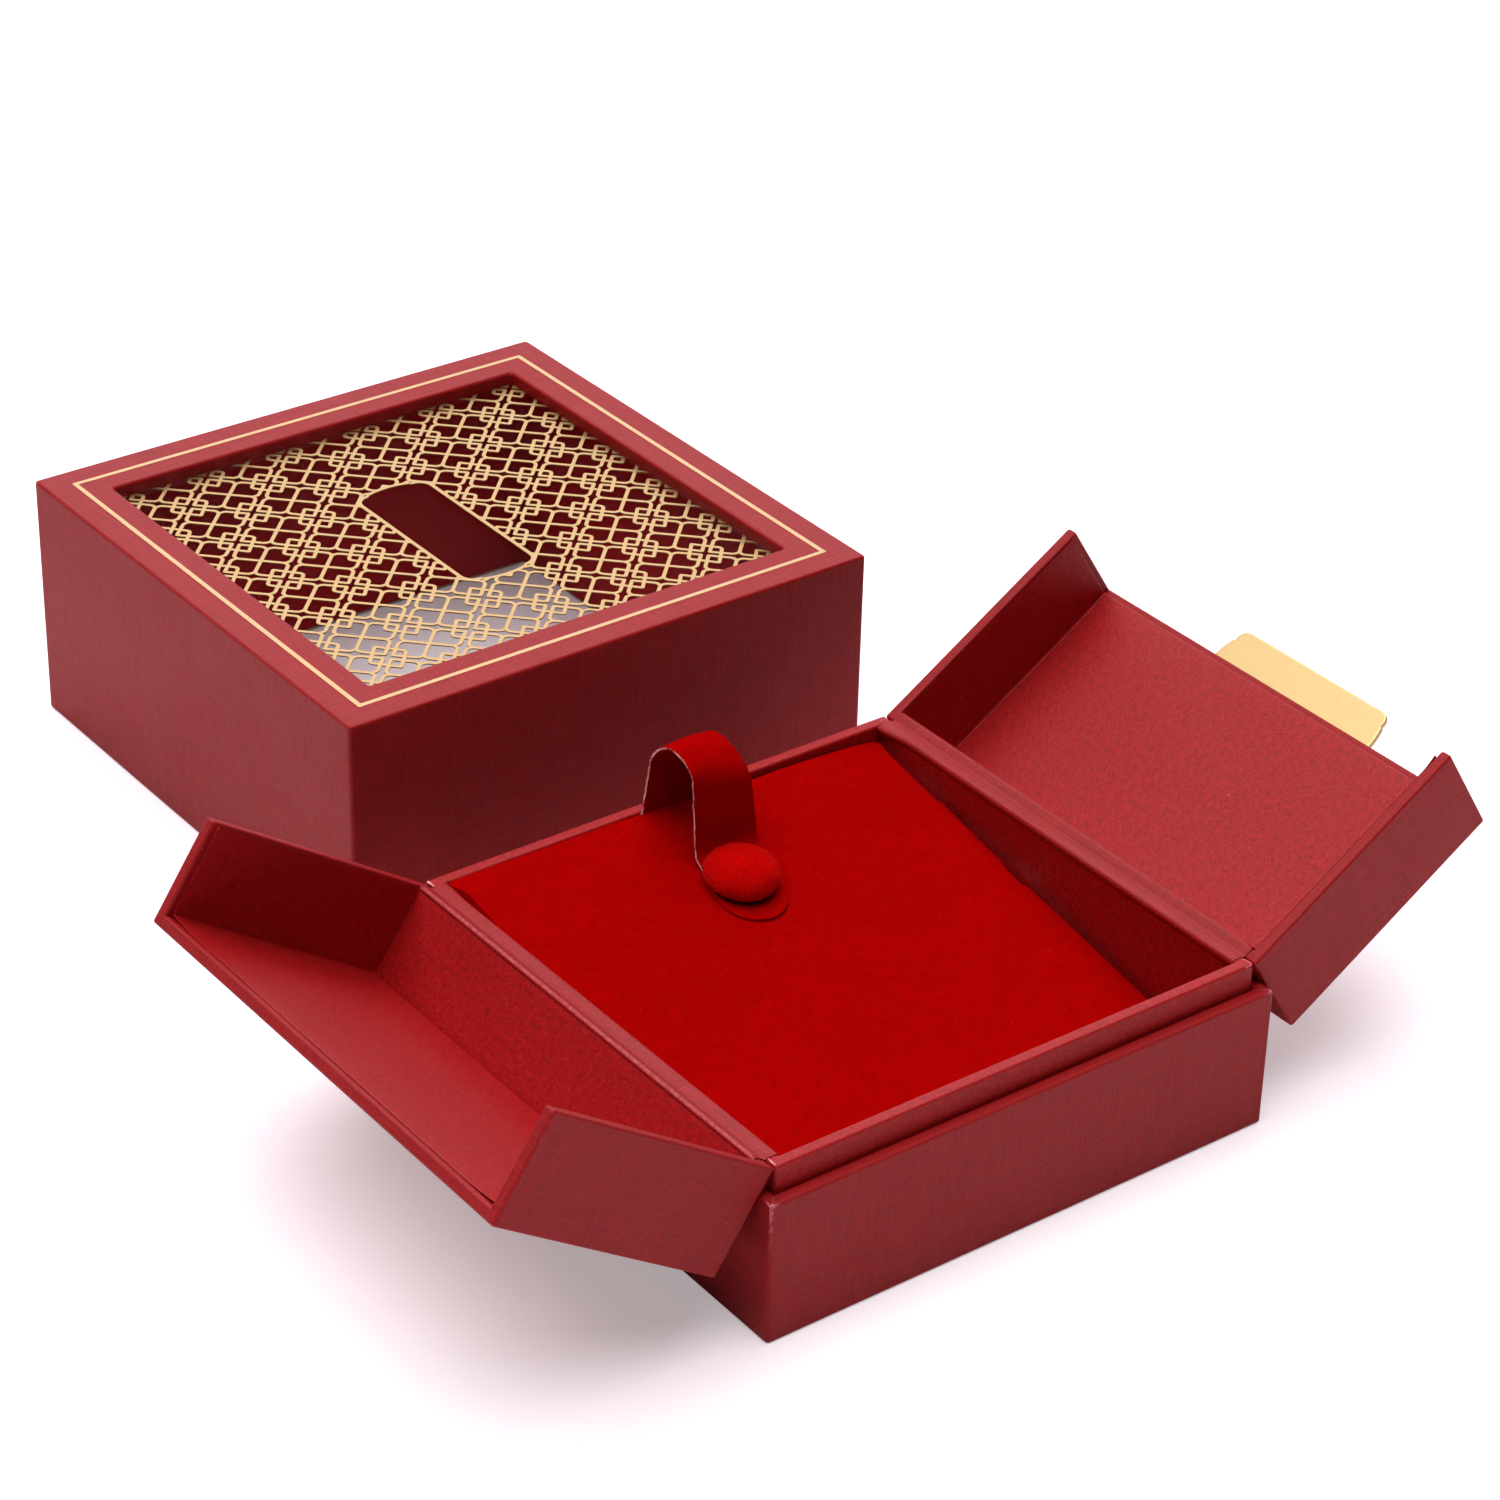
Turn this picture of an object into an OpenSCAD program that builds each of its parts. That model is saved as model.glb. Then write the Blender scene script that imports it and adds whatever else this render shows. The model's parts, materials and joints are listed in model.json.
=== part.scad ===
// Gift box for jewelry: outer shell, inner tray with two door flaps,
// sloping velvet pad with a snap strap, and a separate window cover.
// Millimetres, +Z up. Origin: centre of the base underside.

/* [Base shell] */
// Outside width and depth of the base shell
base_w = 100; // [90:1:112]
// Height of the shell walls
shell_h = 25.6; // [24.5:0.1:26.2]
// Greyboard thickness of the shell
shell_board_t = 1.9; // [1.6:0.05:1.9]
// Thickness of the wrapping paper
wrap_t = 0.25; // [0.2:0.01:0.25]

/* [Inner tray] */
// Distance from the shell's outer face to the tray's outer face
tray_inset = 2.6; // [2.55:0.01:2.7]
// Height of the tray rim above the table
tray_h = 30.2; // [30:0.1:31]
// Greyboard thickness of the tray and the doors
tray_board_t = 1.8; // [1.5:0.05:1.8]

/* [Doors] */
// Height of a door above the tray rim when it is shut
door_h = 19.1; // [18.8:0.1:22]
// Gap between the rim and a shut door
rim_gap = 0.3; // [0.3:0.05:0.5]
// Gap between the two shut doors
centre_gap = 0.4; // [0.4:0.05:1]
// Opening angle of the left door
left_open = 146; // [130:0.5:146.5]
// Opening angle of the right door
right_open = 147.6; // [130:0.5:147.6]
// How far the liner stands back from the free edge
liner_setback = 1.2; // [0.8:0.1:2]

/* [Closure plaque] */
// Length of the plaque along the door edge
plaque_l = 38.5; // [30:0.5:44]
// Whole width of the plaque
plaque_w = 14.8; // [12:0.2:18]
// Plate thickness
plaque_t = 1; // [0.8:0.1:1.2]

/* [Pad] */
// Slope of the display pad, in degrees
pad_slope = 10.9; // [9.5:0.1:11.2]
// Height of the pad's upper back edge
pad_back_z = 27.7; // [27.5:0.1:28.2]
// Velvet thickness
velvet_t = 0.8; // [0.6:0.1:0.8]
// Foam thickness
foam_t = 3; // [2.5:0.1:3]
// Pad board thickness
pad_board_t = 1.6; // [1.4:0.1:1.6]

/* [Strap] */
// Strap width
strap_w = 12.3; // [10:0.1:13]
// Strap thickness
strap_t = 0.9; // [0.8:0.05:0.9]
// Diameter of the covered button
button_d = 12.9; // [12:0.1:15.3]
// Height of the button above the tab
button_h = 3.8; // [3:0.1:4]

/* [Cover] */
// Outside width and depth of the cover
cover_w = 107.6; // [106:0.2:124]
// Height of the cover
cover_h = 47.2; // [44:0.2:52]
// Greyboard thickness of the cover
cover_board_t = 2.2; // [1.8:0.1:2.2]
// Width of the window
window_w = 86.6; // [76:0.2:90]
// Distance of the gold line from the cover's edge
border_inset = 5; // [3.5:0.1:6]
// Width of the gold line
border_w = 0.9; // [0.6:0.1:1.5]
// Clear distance between base and cover on the table
cover_gap = 20.8; // [12:0.2:60]
// Sideways offset of the cover
cover_x = 7.2; // [-30:0.1:30]

/* [Lattice] */
// Half the pitch of the lattice
lat_h = 8.35; // [7:0.05:10]
// Width of a lattice line
lat_w = 0.7; // [0.5:0.05:1]
// Thickness of the lattice sheet
lat_t = 0.2; // [0.15:0.01:0.3]
// Length of the clear field
field_l = 40.6; // [34:0.2:46]
// Width of the clear field
field_w = 15.8; // [13:0.2:20]

/* [Hidden] */
$fn = 64;
eps = 0.01;

hw = base_w / 2;                    // half width of the shell
sb = hw - wrap_t;                   // outer face of the shell boards
si = sb - shell_board_t;            // inner face of the shell boards
ht = hw - tray_inset;               // outer face of the tray
tb = ht - wrap_t;                   // outer face of the tray boards
ti = tb - tray_board_t;             // inner face of the tray boards
tc = ti - wrap_t;                   // clear inside of the tray
floor_z = wrap_t + 2;               // top of the shell floor
tray_floor_z = floor_z + tray_board_t;
strip_h = 7;                        // height of one half of a hinge strip

// doors, in their own shut frame: u across from the hinge, v up from the rim
door_u = ht - centre_gap / 2;
bu = wrap_t + tray_board_t;         // inner face of the hinge wall board
pv = door_h - wrap_t - tray_board_t; // underside of the panel board

// pad frame: y' runs up the slope, 0 at its upper back edge
pad_y = ht - 4.7;
pad_t = velvet_t + foam_t + pad_board_t;
pad_l = (pad_y + tc - 0.5) / cos(pad_slope);
pad_x = tc - 0.3;

// strap
strap_x = 0.6;
tab_x = -0.6;
tab_r = strap_w / 2 - 0.2;
arch_y = tc - 7.1;
arch_r = 6.7;
arch_z = 39.2;
leg_y = arch_y - arch_r;
btn_y = leg_y - button_d / 2 - 0.4;  // button centre along Y
btn_s = (btn_y - pad_y) / cos(pad_slope);
tab_s = btn_s - 3.4;
tab_up = 0.3;                        // tab rides this far over the velvet
heel_s = (leg_y + strap_t - 0.15 - pad_y) / cos(pad_slope);
cup_d = 1.2;

// cover
hc = cover_w / 2;
cb = hc - wrap_t;
ci = cb - cover_board_t;
cc = ci - wrap_t;
cover_y = hw + cover_gap + hc;
frame_top = cover_h - wrap_t;
frame_bot = frame_top - cover_board_t;
film_t = 0.3;
card_t = 1;

// every sub-part of the assembly

// box from its lowest to its highest corner
module bx(a, b) {
  translate(a) cube([b[0] - a[0], b[1] - a[1], b[2] - a[2]]);
}

// ---------- base shell ----------
module base_bottom_sheet() {
  color("#6e2028") bx([-hw + 10, -hw + 10, 0], [hw - 10, hw - 10, wrap_t]);
}
module shell_floor_board() {
  color("#b9a58a") bx([-si, -si, wrap_t], [si, si, floor_z]);
}
module shell_wall_front() {
  color("#b9a58a") bx([-sb, -sb, wrap_t], [sb, -si, shell_h - wrap_t]);
}
module shell_wall_back() {
  color("#b9a58a") bx([-sb, si, wrap_t], [sb, sb, shell_h - wrap_t]);
}
module shell_wall_left() {
  color("#b9a58a") bx([-sb, -si, wrap_t], [-si, si, shell_h - wrap_t]);
}
module shell_wall_right() {
  color("#b9a58a") bx([si, -si, wrap_t], [sb, si, shell_h - wrap_t]);
}
// outer skin, top edge, inner turn-in and bottom hem
module shell_wrap() {
  color("#84282f") difference() {
    bx([-hw, -hw, 0], [hw, hw, shell_h]);
    difference() {
      bx([-sb, -sb, wrap_t], [sb, sb, shell_h - wrap_t]);
      difference() {
        bx([-si, -si, shell_h - 12], [si, si, shell_h]);
        bx([-si + wrap_t, -si + wrap_t, 0], [si - wrap_t, si - wrap_t, shell_h + 1]);
      }
    }
    bx([-si + wrap_t, -si + wrap_t, 1], [si - wrap_t, si - wrap_t, shell_h + 1]);
    bx([-hw + 10, -hw + 10, -1], [hw - 10, hw - 10, 2]);
  }
}

// ---------- inner tray ----------
module tray_floor_board() {
  color("#b9a58a") bx([-tb, -tb, floor_z], [tb, tb, tray_floor_z]);
}
module tray_wall_front() {
  color("#b9a58a") bx([-tb, -tb, tray_floor_z], [tb, -ti, tray_h - wrap_t]);
}
module tray_wall_back() {
  color("#b9a58a") bx([-tb, ti, tray_floor_z], [tb, tb, tray_h - wrap_t]);
}
module tray_wall_left() {
  color("#b9a58a") bx([-tb, -ti, tray_floor_z], [-ti, ti, tray_h - wrap_t]);
}
module tray_wall_right() {
  color("#b9a58a") bx([ti, -ti, tray_floor_z], [tb, ti, tray_h - wrap_t]);
}
module tray_wrap() {
  color("#b04a50") difference() {
    bx([-ht, -ht, floor_z], [ht, ht, tray_h]);
    difference() {
      bx([-tb, -tb, floor_z - 1], [tb, tb, tray_h - wrap_t]);
      bx([-ti, -ti, tray_floor_z], [ti, ti, tray_h]);
    }
    bx([-tc, -tc, tray_floor_z + wrap_t], [tc, tc, tray_h + 1]);
    for (s = [-1, 1]) translate([s * (ht - wrap_t / 2), 0, tray_h - strip_h / 2 + 0.5])
      cube([wrap_t + 2 * eps * 0, 2 * tb, strip_h + 1], center = true);
  }
}
module strip_tray() {
  bx([-ht, -tb, tray_h - strip_h], [-tb, tb, tray_h]);
}
module hinge_strip_left_tray() { color("#c05a5e") strip_tray(); }
module hinge_strip_right_tray() { color("#c05a5e") mirror([1, 0, 0]) strip_tray(); }

// ---------- display pad ----------
module in_pad() {
  translate([0, pad_y, pad_back_z]) rotate([pad_slope, 0, 0]) children();
}
module socket_hole(r) {
  translate([tab_x, btn_s, -4.6]) cylinder(h = 6, r = r);
}
module pad_velvet() {
  color("#b40808") in_pad() difference() {
    bx([-pad_x, -pad_l, -velvet_t - foam_t - pad_board_t], [pad_x, 0, 0]);
    bx([-pad_x + velvet_t, -pad_l + velvet_t, -pad_t - 1], [pad_x - velvet_t, -velvet_t, -velvet_t]);
    socket_hole(4.6);
  }
}
module pad_foam() {
  color("#e8e0d0") in_pad() difference() {
    bx([-pad_x + velvet_t, -pad_l + velvet_t, -velvet_t - foam_t], [pad_x - velvet_t, -velvet_t, -velvet_t]);
    socket_hole(4.6);
  }
}
module pad_board() {
  color("#b9a58a") in_pad()
    bx([-pad_x + velvet_t, -pad_l + velvet_t, -pad_t], [pad_x - velvet_t, -velvet_t, -velvet_t - foam_t]);
}
// underside of the pad at a place along Y
function pad_low(y) = pad_back_z + (y - pad_y) * tan(pad_slope) - pad_t / cos(pad_slope);
module riser(y0, y1) {
  z0 = tray_floor_z + wrap_t;
  translate([-36, 0, 0]) rotate([90, 0, 90])
    linear_extrude(height = 72) polygon([[y0, z0], [y1, z0], [y1, pad_low(y1)], [y0, pad_low(y0)]]);
}
module pad_riser_back() { color("#c9b79c") riser(33, 36); }
module pad_riser_front() { color("#c9b79c") riser(-36, -32); }

// ---------- snap and strap ----------
module snap_socket() {
  color("#c8c8cc") in_pad() translate([tab_x, btn_s, -2.2]) difference() {
    cylinder(h = 2.2, r = 4.6);
    translate([0, 0, 2.2 - cup_d]) cylinder(h = 3, r = 3.3);
  }
}
module arch_ring() {
  translate([strap_x - strap_w / 2, arch_y, arch_z]) rotate([90, 0, 90]) difference() {
    cylinder(h = strap_w, r = arch_r);
    translate([0, 0, -1]) cylinder(h = strap_w + 2, r = arch_r - strap_t);
  }
}
module strap_back() {
  color("#c00c0c") union() {
    intersection() {
      arch_ring();
      bx([-20, arch_y + 0.15, arch_z], [20, arch_y + 20, arch_z + 20]);
    }
    bx([strap_x - strap_w / 2, arch_y + arch_r - strap_t, 22], [strap_x + strap_w / 2, arch_y + arch_r, arch_z]);
  }
}
module strap_anchor() {
  color("#d8d0c0") bx([strap_x - strap_w / 2, arch_y + arch_r, 22.2], [strap_x + strap_w / 2, tc, 28.5]);
}
module strap_front() {
  color("#c00c0c") union() {
    intersection() {
      arch_ring();
      bx([-20, arch_y - 20, arch_z], [20, arch_y - 0.15, arch_z + 20]);
    }
    bx([strap_x - strap_w / 2, leg_y, pad_low(leg_y) + pad_t / cos(pad_slope) + 1],
       [strap_x + strap_w / 2, leg_y + strap_t, arch_z]);
    in_pad() translate([0, 0, tab_up]) linear_extrude(height = strap_t) union() {
      polygon([[strap_x - strap_w / 2 + 0.2, heel_s], [strap_x + strap_w / 2 - 0.2, heel_s],
               [tab_x + tab_r - 0.6, tab_s], [tab_x - tab_r + 0.6, tab_s]]);
      translate([tab_x, tab_s]) circle(r = tab_r);
    }
  }
}
module button_cap() {
  color("#c81414") in_pad() translate([tab_x, btn_s, tab_up + strap_t]) intersection() {
    cylinder(h = button_h, r = button_d / 2);
    translate([0, 0, button_h - 24]) sphere(r = 24);
  }
}
module snap_stud() {
  color("#c8c8cc") in_pad() translate([tab_x, btn_s, tab_up - 1.05]) cylinder(h = 1.05, r = 1.5);
}

// ---------- doors, modelled shut ----------
module place_left() {
  translate([-ht, 0, tray_h]) rotate([0, -left_open, 0]) children();
}
module place_right() {
  translate([ht, 0, tray_h]) rotate([0, right_open, 0]) mirror([1, 0, 0]) children();
}
module magnet_pair(r, d) {
  for (s = [-1, 1]) translate([door_u - 4.2, s * 11, door_h - wrap_t - d]) cylinder(h = d, r = r);
}
module d_panel() {
  bx([wrap_t, -tb, pv], [door_u - wrap_t, tb, door_h - wrap_t]);
}
module d_hinge_wall() {
  bx([wrap_t, -tb, rim_gap + wrap_t], [bu, tb, pv]);
}
module d_end() {
  bx([bu, -tb, rim_gap + wrap_t], [door_u - wrap_t, -ti, pv]);
}
module d_wrap() {
  difference() {
    bx([0, -ht, rim_gap], [door_u, ht, door_h]);
    difference() {
      bx([wrap_t, -tb, rim_gap + wrap_t], [door_u - wrap_t, tb, door_h - wrap_t]);
    }
    bx([bu, -ti, rim_gap - 1], [door_u + 1, ti, pv]);
    bx([-1, -tb, rim_gap - 1], [wrap_t, tb, rim_gap + strip_h]);
  }
}
module d_strip() {
  bx([0, -tb, rim_gap], [wrap_t, tb, rim_gap + strip_h]);
}
module d_liner() {
  difference() {
    bx([bu, -ti, rim_gap + 0.5], [door_u - liner_setback, ti, pv]);
    bx([bu + wrap_t, -ti + wrap_t, rim_gap - 1], [door_u, ti - wrap_t, pv - wrap_t]);
  }
}
module left_panel_board() {
  color("#b9a58a") place_left() difference() { d_panel(); magnet_pair(4, 1.2); }
}
module left_hinge_wall() { color("#b9a58a") place_left() d_hinge_wall(); }
module left_end_front() { color("#b9a58a") place_left() d_end(); }
module left_end_back() { color("#b9a58a") place_left() mirror([0, 1, 0]) d_end(); }
module left_wrap() { color("#a03238") place_left() d_wrap(); }
module left_liner() { color("#a5282d") place_left() d_liner(); }
module hinge_strip_left_door() { color("#c05a5e") place_left() d_strip(); }
module left_magnets() { color("#9a9aa0") place_left() magnet_pair(4, 1.2); }

module right_panel_board() { color("#b9a58a") place_right() d_panel(); }
module right_hinge_wall() { color("#b9a58a") place_right() d_hinge_wall(); }
module right_end_front() { color("#b9a58a") place_right() d_end(); }
module right_end_back() { color("#b9a58a") place_right() mirror([0, 1, 0]) d_end(); }
module right_wrap() { color("#a03238") place_right() d_wrap(); }
module right_liner() { color("#a5282d") place_right() d_liner(); }
module hinge_strip_right_door() { color("#c05a5e") place_right() d_strip(); }

// long plate with stepped, rounded ends
module notched(l, w, r) {
  intersection() {
    square([w, l - 2.2], center = true);
    union() {
      square([w - 2 * r, l - 2.2], center = true);
      square([w, l - 2.2 - 2 * r], center = true);
      for (a = [-1, 1], b = [-1, 1])
        translate([a * (w / 2 - r), b * (l / 2 - 1.1 - r)]) circle(r = r);
    }
  }
  intersection() {
    square([w - 5.2, l], center = true);
    for (b = [-1, 1]) translate([0, b * (l / 2 - 15)]) circle(r = 15, $fn = 96);
  }
  square([w - 5.2, l - 4.2], center = true);
}
module plaque() {
  color("#e2bd73") place_right() translate([door_u, 0, door_h + 0.3])
    linear_extrude(height = plaque_t) notched(plaque_l, plaque_w, 1.8);
}
module plaque_adhesive() {
  color("#d0d0d0") place_right() bx([door_u - plaque_w / 2 + 1, -plaque_l / 2 + 4, door_h],
    [door_u - 0.6, plaque_l / 2 - 4, door_h + 0.3]);
}

// ---------- cover ----------
module at_cover() { translate([cover_x, cover_y, 0]) children(); }
module cover_top_frame() {
  color("#b9a58a") at_cover() difference() {
    bx([-cb, -cb, frame_bot], [cb, cb, frame_top]);
    bx([-window_w / 2 - wrap_t, -window_w / 2 - wrap_t, frame_bot - 1],
       [window_w / 2 + wrap_t, window_w / 2 + wrap_t, frame_top + 1]);
  }
}
module cover_wall_front() {
  color("#b9a58a") at_cover() bx([-cb, -cb, 0], [cb, -ci, frame_bot]);
}
module cover_wall_back() {
  color("#b9a58a") at_cover() bx([-cb, ci, 0], [cb, cb, frame_bot]);
}
module cover_wall_left() {
  color("#b9a58a") at_cover() bx([-cb, -ci, 0], [-ci, ci, frame_bot]);
}
module cover_wall_right() {
  color("#b9a58a") at_cover() bx([ci, -ci, 0], [cb, ci, frame_bot]);
}
module cover_wrap() {
  color("#8a2a32") at_cover() difference() {
    bx([-hc, -hc, 0], [hc, hc, cover_h]);
    bx([-window_w / 2, -window_w / 2, -1], [window_w / 2, window_w / 2, cover_h + 1]);
    difference() {
      bx([-cb, -cb, -1], [cb, cb, frame_top]);
      bx([-window_w / 2 - wrap_t, -window_w / 2 - wrap_t, frame_bot],
         [window_w / 2 + wrap_t, window_w / 2 + wrap_t, frame_top]);
    }
  }
}
module cover_liner() {
  color("#7a1218") at_cover() difference() {
    bx([-ci, -ci, 0.5], [ci, ci, frame_bot - lat_t - film_t - card_t]);
    bx([-cc, -cc, -1], [cc, cc, cover_h]);
  }
}
module film_frame() {
  color("#7a1218") at_cover() difference() {
    bx([-ci, -ci, frame_bot - lat_t - film_t - card_t], [ci, ci, frame_bot - lat_t - film_t]);
    bx([-window_w / 2 - 1, -window_w / 2 - 1, 0], [window_w / 2 + 1, window_w / 2 + 1, cover_h]);
  }
}
module window_film() {
  color([0.8, 0.85, 0.95, 0.35]) at_cover()
    bx([-ci + 1, -ci + 1, frame_bot - lat_t - film_t], [ci - 1, ci - 1, frame_bot - lat_t]);
}
module lattice_2d() {
  n = 5;
  half = window_w / 2 + 3;
  intersection() {
    square(2 * half, center = true);
    difference() {
      union() {
        for (k = [-n : n], a = [45, -45])
          rotate(a) translate([0, (2 * k + 1) * lat_h / sqrt(2)]) square([4 * half, lat_w], center = true);
        difference() {
          square(2 * half + 1, center = true);
          square(2 * half - 8, center = true);
        }
        notched(field_l, field_w, 1.8);
      }
      notched(field_l - 2 * lat_w, field_w - 2 * lat_w, 1.4);
    }
  }
}
module lattice_sheet() {
  color("#dcae66") at_cover() translate([0, 0, frame_bot - lat_t])
    linear_extrude(height = lat_t) lattice_2d();
}
module gold_border() {
  g = hc - border_inset;
  color("#e8c88c") at_cover() difference() {
    bx([-g, -g, cover_h], [g, g, cover_h + 0.06]);
    bx([-g + border_w, -g + border_w, cover_h - 1], [g - border_w, g - border_w, cover_h + 1]);
  }
}

// ---------- assembly ----------
base_bottom_sheet();
shell_floor_board();
shell_wall_front();
shell_wall_back();
shell_wall_left();
shell_wall_right();
shell_wrap();
tray_floor_board();
tray_wall_front();
tray_wall_back();
tray_wall_left();
tray_wall_right();
tray_wrap();
hinge_strip_left_tray();
hinge_strip_right_tray();
pad_riser_back();
pad_riser_front();
pad_board();
pad_foam();
pad_velvet();
snap_socket();
strap_back();
strap_anchor();
left_panel_board();
left_hinge_wall();
left_end_front();
left_end_back();
left_wrap();
left_liner();
hinge_strip_left_door();
left_magnets();
right_panel_board();
right_hinge_wall();
right_end_front();
right_end_back();
right_wrap();
right_liner();
hinge_strip_right_door();
plaque();
plaque_adhesive();
strap_front();
button_cap();
snap_stud();
cover_top_frame();
cover_wall_front();
cover_wall_back();
cover_wall_left();
cover_wall_right();
cover_wrap();
cover_liner();
film_frame();
window_film();
lattice_sheet();
gold_border();
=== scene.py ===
import json
import math
import random
import bpy
import bmesh
import numpy as np
from mathutils import Vector, Matrix, noise, geometry


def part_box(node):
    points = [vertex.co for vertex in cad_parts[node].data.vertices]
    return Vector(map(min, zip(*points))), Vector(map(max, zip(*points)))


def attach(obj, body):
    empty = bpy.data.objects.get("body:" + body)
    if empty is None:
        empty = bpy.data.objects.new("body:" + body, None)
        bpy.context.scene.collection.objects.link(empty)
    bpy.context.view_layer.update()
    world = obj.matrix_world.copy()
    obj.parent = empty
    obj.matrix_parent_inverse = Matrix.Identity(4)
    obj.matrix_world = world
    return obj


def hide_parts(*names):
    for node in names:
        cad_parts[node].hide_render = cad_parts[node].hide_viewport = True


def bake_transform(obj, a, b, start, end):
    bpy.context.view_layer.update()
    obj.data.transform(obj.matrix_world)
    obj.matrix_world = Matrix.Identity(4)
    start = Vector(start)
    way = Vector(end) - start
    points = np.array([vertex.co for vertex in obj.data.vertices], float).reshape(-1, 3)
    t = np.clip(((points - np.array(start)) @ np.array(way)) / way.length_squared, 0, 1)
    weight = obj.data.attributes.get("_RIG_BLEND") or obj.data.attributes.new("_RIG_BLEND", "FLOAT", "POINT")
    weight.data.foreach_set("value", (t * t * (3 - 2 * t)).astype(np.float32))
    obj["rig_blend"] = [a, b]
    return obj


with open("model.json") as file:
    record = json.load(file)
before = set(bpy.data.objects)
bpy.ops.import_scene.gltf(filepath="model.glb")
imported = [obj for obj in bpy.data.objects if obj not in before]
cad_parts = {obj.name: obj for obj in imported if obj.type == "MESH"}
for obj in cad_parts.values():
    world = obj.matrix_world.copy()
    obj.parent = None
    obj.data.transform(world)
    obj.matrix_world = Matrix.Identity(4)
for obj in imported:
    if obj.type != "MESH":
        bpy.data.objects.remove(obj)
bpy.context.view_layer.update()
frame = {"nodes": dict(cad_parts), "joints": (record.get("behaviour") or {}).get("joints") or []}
NODE = frame["nodes"]
JOINT = {j["name"]: j for j in frame["joints"]}
K = 0.001
RNG = random.Random(7)


def B(node):
    lo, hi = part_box(node)
    return np.array(lo) / K, np.array(hi) / K


# ------------------------------------------------------------------ sizes, in mm, read from the frame
lo, hi = B("shell_wrap")
HW, SH = hi[0], hi[2]                          # shell half width, shell height
SI = B("shell_wall_right")[0][0] - 0.25        # clear inside of the shell
lo, hi = B("tray_wrap")
HT, TZ0, TH = hi[0], lo[2], hi[2]              # tray half width, underside, rim height
TI = B("tray_wall_back")[0][1]                 # inner face of the tray boards
TC = TI - 0.25                                 # clear inside of the tray
TFZ = B("tray_floor_board")[1][2] + 0.25
PIV = JOINT["left_door_hinge"]["pos_m"]
PX, PZ = abs(PIV[0]) / K, PIV[2] / K
A_L = math.radians(-JOINT["left_door_hinge"]["range_deg"][0])
A_R = math.radians(-JOINT["right_door_hinge"]["range_deg"][0])
DU = HT - 0.2                                  # door width, from hinge to free edge
DV0, DV1 = 0.3, 19.1                           # bottom edge and top of a door
BU = 2.05                                      # wrapped thickness of the door walls, less the lining
PV = DV1 - BU                                  # underside of the door panel
lo, hi = B("cover_wrap")
CX, CY = (lo[0] + hi[0]) / 2, (lo[1] + hi[1]) / 2
HC, CH = (hi[0] - lo[0]) / 2, hi[2]
lo, hi = B("lattice_sheet")
LZ0, LZ1 = lo[2], hi[2]
lo, hi = B("cover_wall_left")
CI = CX - hi[0]
CC = CI - 0.25
FB = B("cover_top_frame")[0][2]
WW = 43.3                                      # half of the window
SLOPE = math.radians(10.9)
PADY = HT - 4.7
PADZ = 27.7


def door_mat(side):
    if side == "left":
        return Matrix.Translation((-PX, 0, PZ)) @ Matrix.Rotation(-A_L, 4, "Y")
    return Matrix.Translation((PX, 0, PZ)) @ Matrix.Rotation(A_R, 4, "Y")


PAD_MAT = Matrix.Translation((0, PADY, PADZ)) @ Matrix.Rotation(SLOPE, 4, "X")


# ------------------------------------------------------------------ mesh helpers
def link(name, me):
    ob = bpy.data.objects.new(name, me)
    bpy.context.scene.collection.objects.link(ob)
    return ob


def smooth(me, angle=None):
    me.polygons.foreach_set("use_smooth", [True] * len(me.polygons))
    if angle is not None:
        try:
            me.set_sharp_from_angle(angle=math.radians(angle))
        except Exception:
            pass


def set_tex(me, co, axis=None):
    """Writes the flat paper or cloth coordinates of each corner, in metres, from the face's own direction in the local frame."""
    at = me.attributes.get("tex") or me.attributes.new("tex", "FLOAT_VECTOR", "CORNER")
    nf, nl = len(me.polygons), len(me.loops)
    tot = np.zeros(nf, np.int32)
    me.polygons.foreach_get("loop_total", tot)
    vi = np.zeros(nl, np.int32)
    me.loops.foreach_get("vertex_index", vi)
    pts = np.asarray(co, float)[vi]
    nxt = np.arange(nl) + 1
    ends = np.cumsum(tot)
    nxt[ends - 1] = ends - tot
    cr = np.cross(pts, pts[nxt])
    nor = np.add.reduceat(cr, ends - tot, axis=0)
    ax = np.argmax(np.abs(nor), axis=1) if axis is None else np.full(nf, axis)
    axl = np.repeat(ax, tot)
    out = np.zeros((nl, 3), np.float32)
    for a, (i, j) in enumerate(((1, 2), (0, 2), (0, 1))):
        k = axl == a
        out[k, 0], out[k, 1], out[k, 2] = pts[k, i] * K, pts[k, j] * K, a * 0.13
    at.data.foreach_set("vector", out.ravel())


def set_edge(me, values):
    at = me.attributes.get("edge") or me.attributes.new("edge", "FLOAT", "POINT")
    at.data.foreach_set("value", np.asarray(values, np.float32))


def finish_mesh(name, verts, faces, mats, mat=None, edge=None, angle=40, tex=True, face_mat=None, local=None):
    """verts are in mm in a local frame; mat places them in the row frame (mm)."""
    co = np.asarray(verts, float)
    me = bpy.data.meshes.new(name)
    me.from_pydata([tuple(v) for v in co], [], [tuple(f) for f in faces])
    me.update()
    if tex:
        set_tex(me, co if local is None else np.asarray(local, float))
    set_edge(me, edge if edge is not None else np.zeros(len(co)))
    M = (mat or Matrix.Identity(4))
    S = Matrix.Scale(K, 4)
    me.transform(S @ M)
    smooth(me, angle)
    for m in mats:
        me.materials.append(m)
    if face_mat is not None:
        me.polygons.foreach_set("material_index", face_mat)
    me.update()
    return link(name, me)


def solidify(ob, t, offset=-1, rim=True):
    m = ob.modifiers.new("sheet", "SOLIDIFY")
    m.thickness = t * K
    m.offset = offset
    m.use_even_offset = True
    m.use_quality_normals = True
    m.use_rim = rim
    return m


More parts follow.
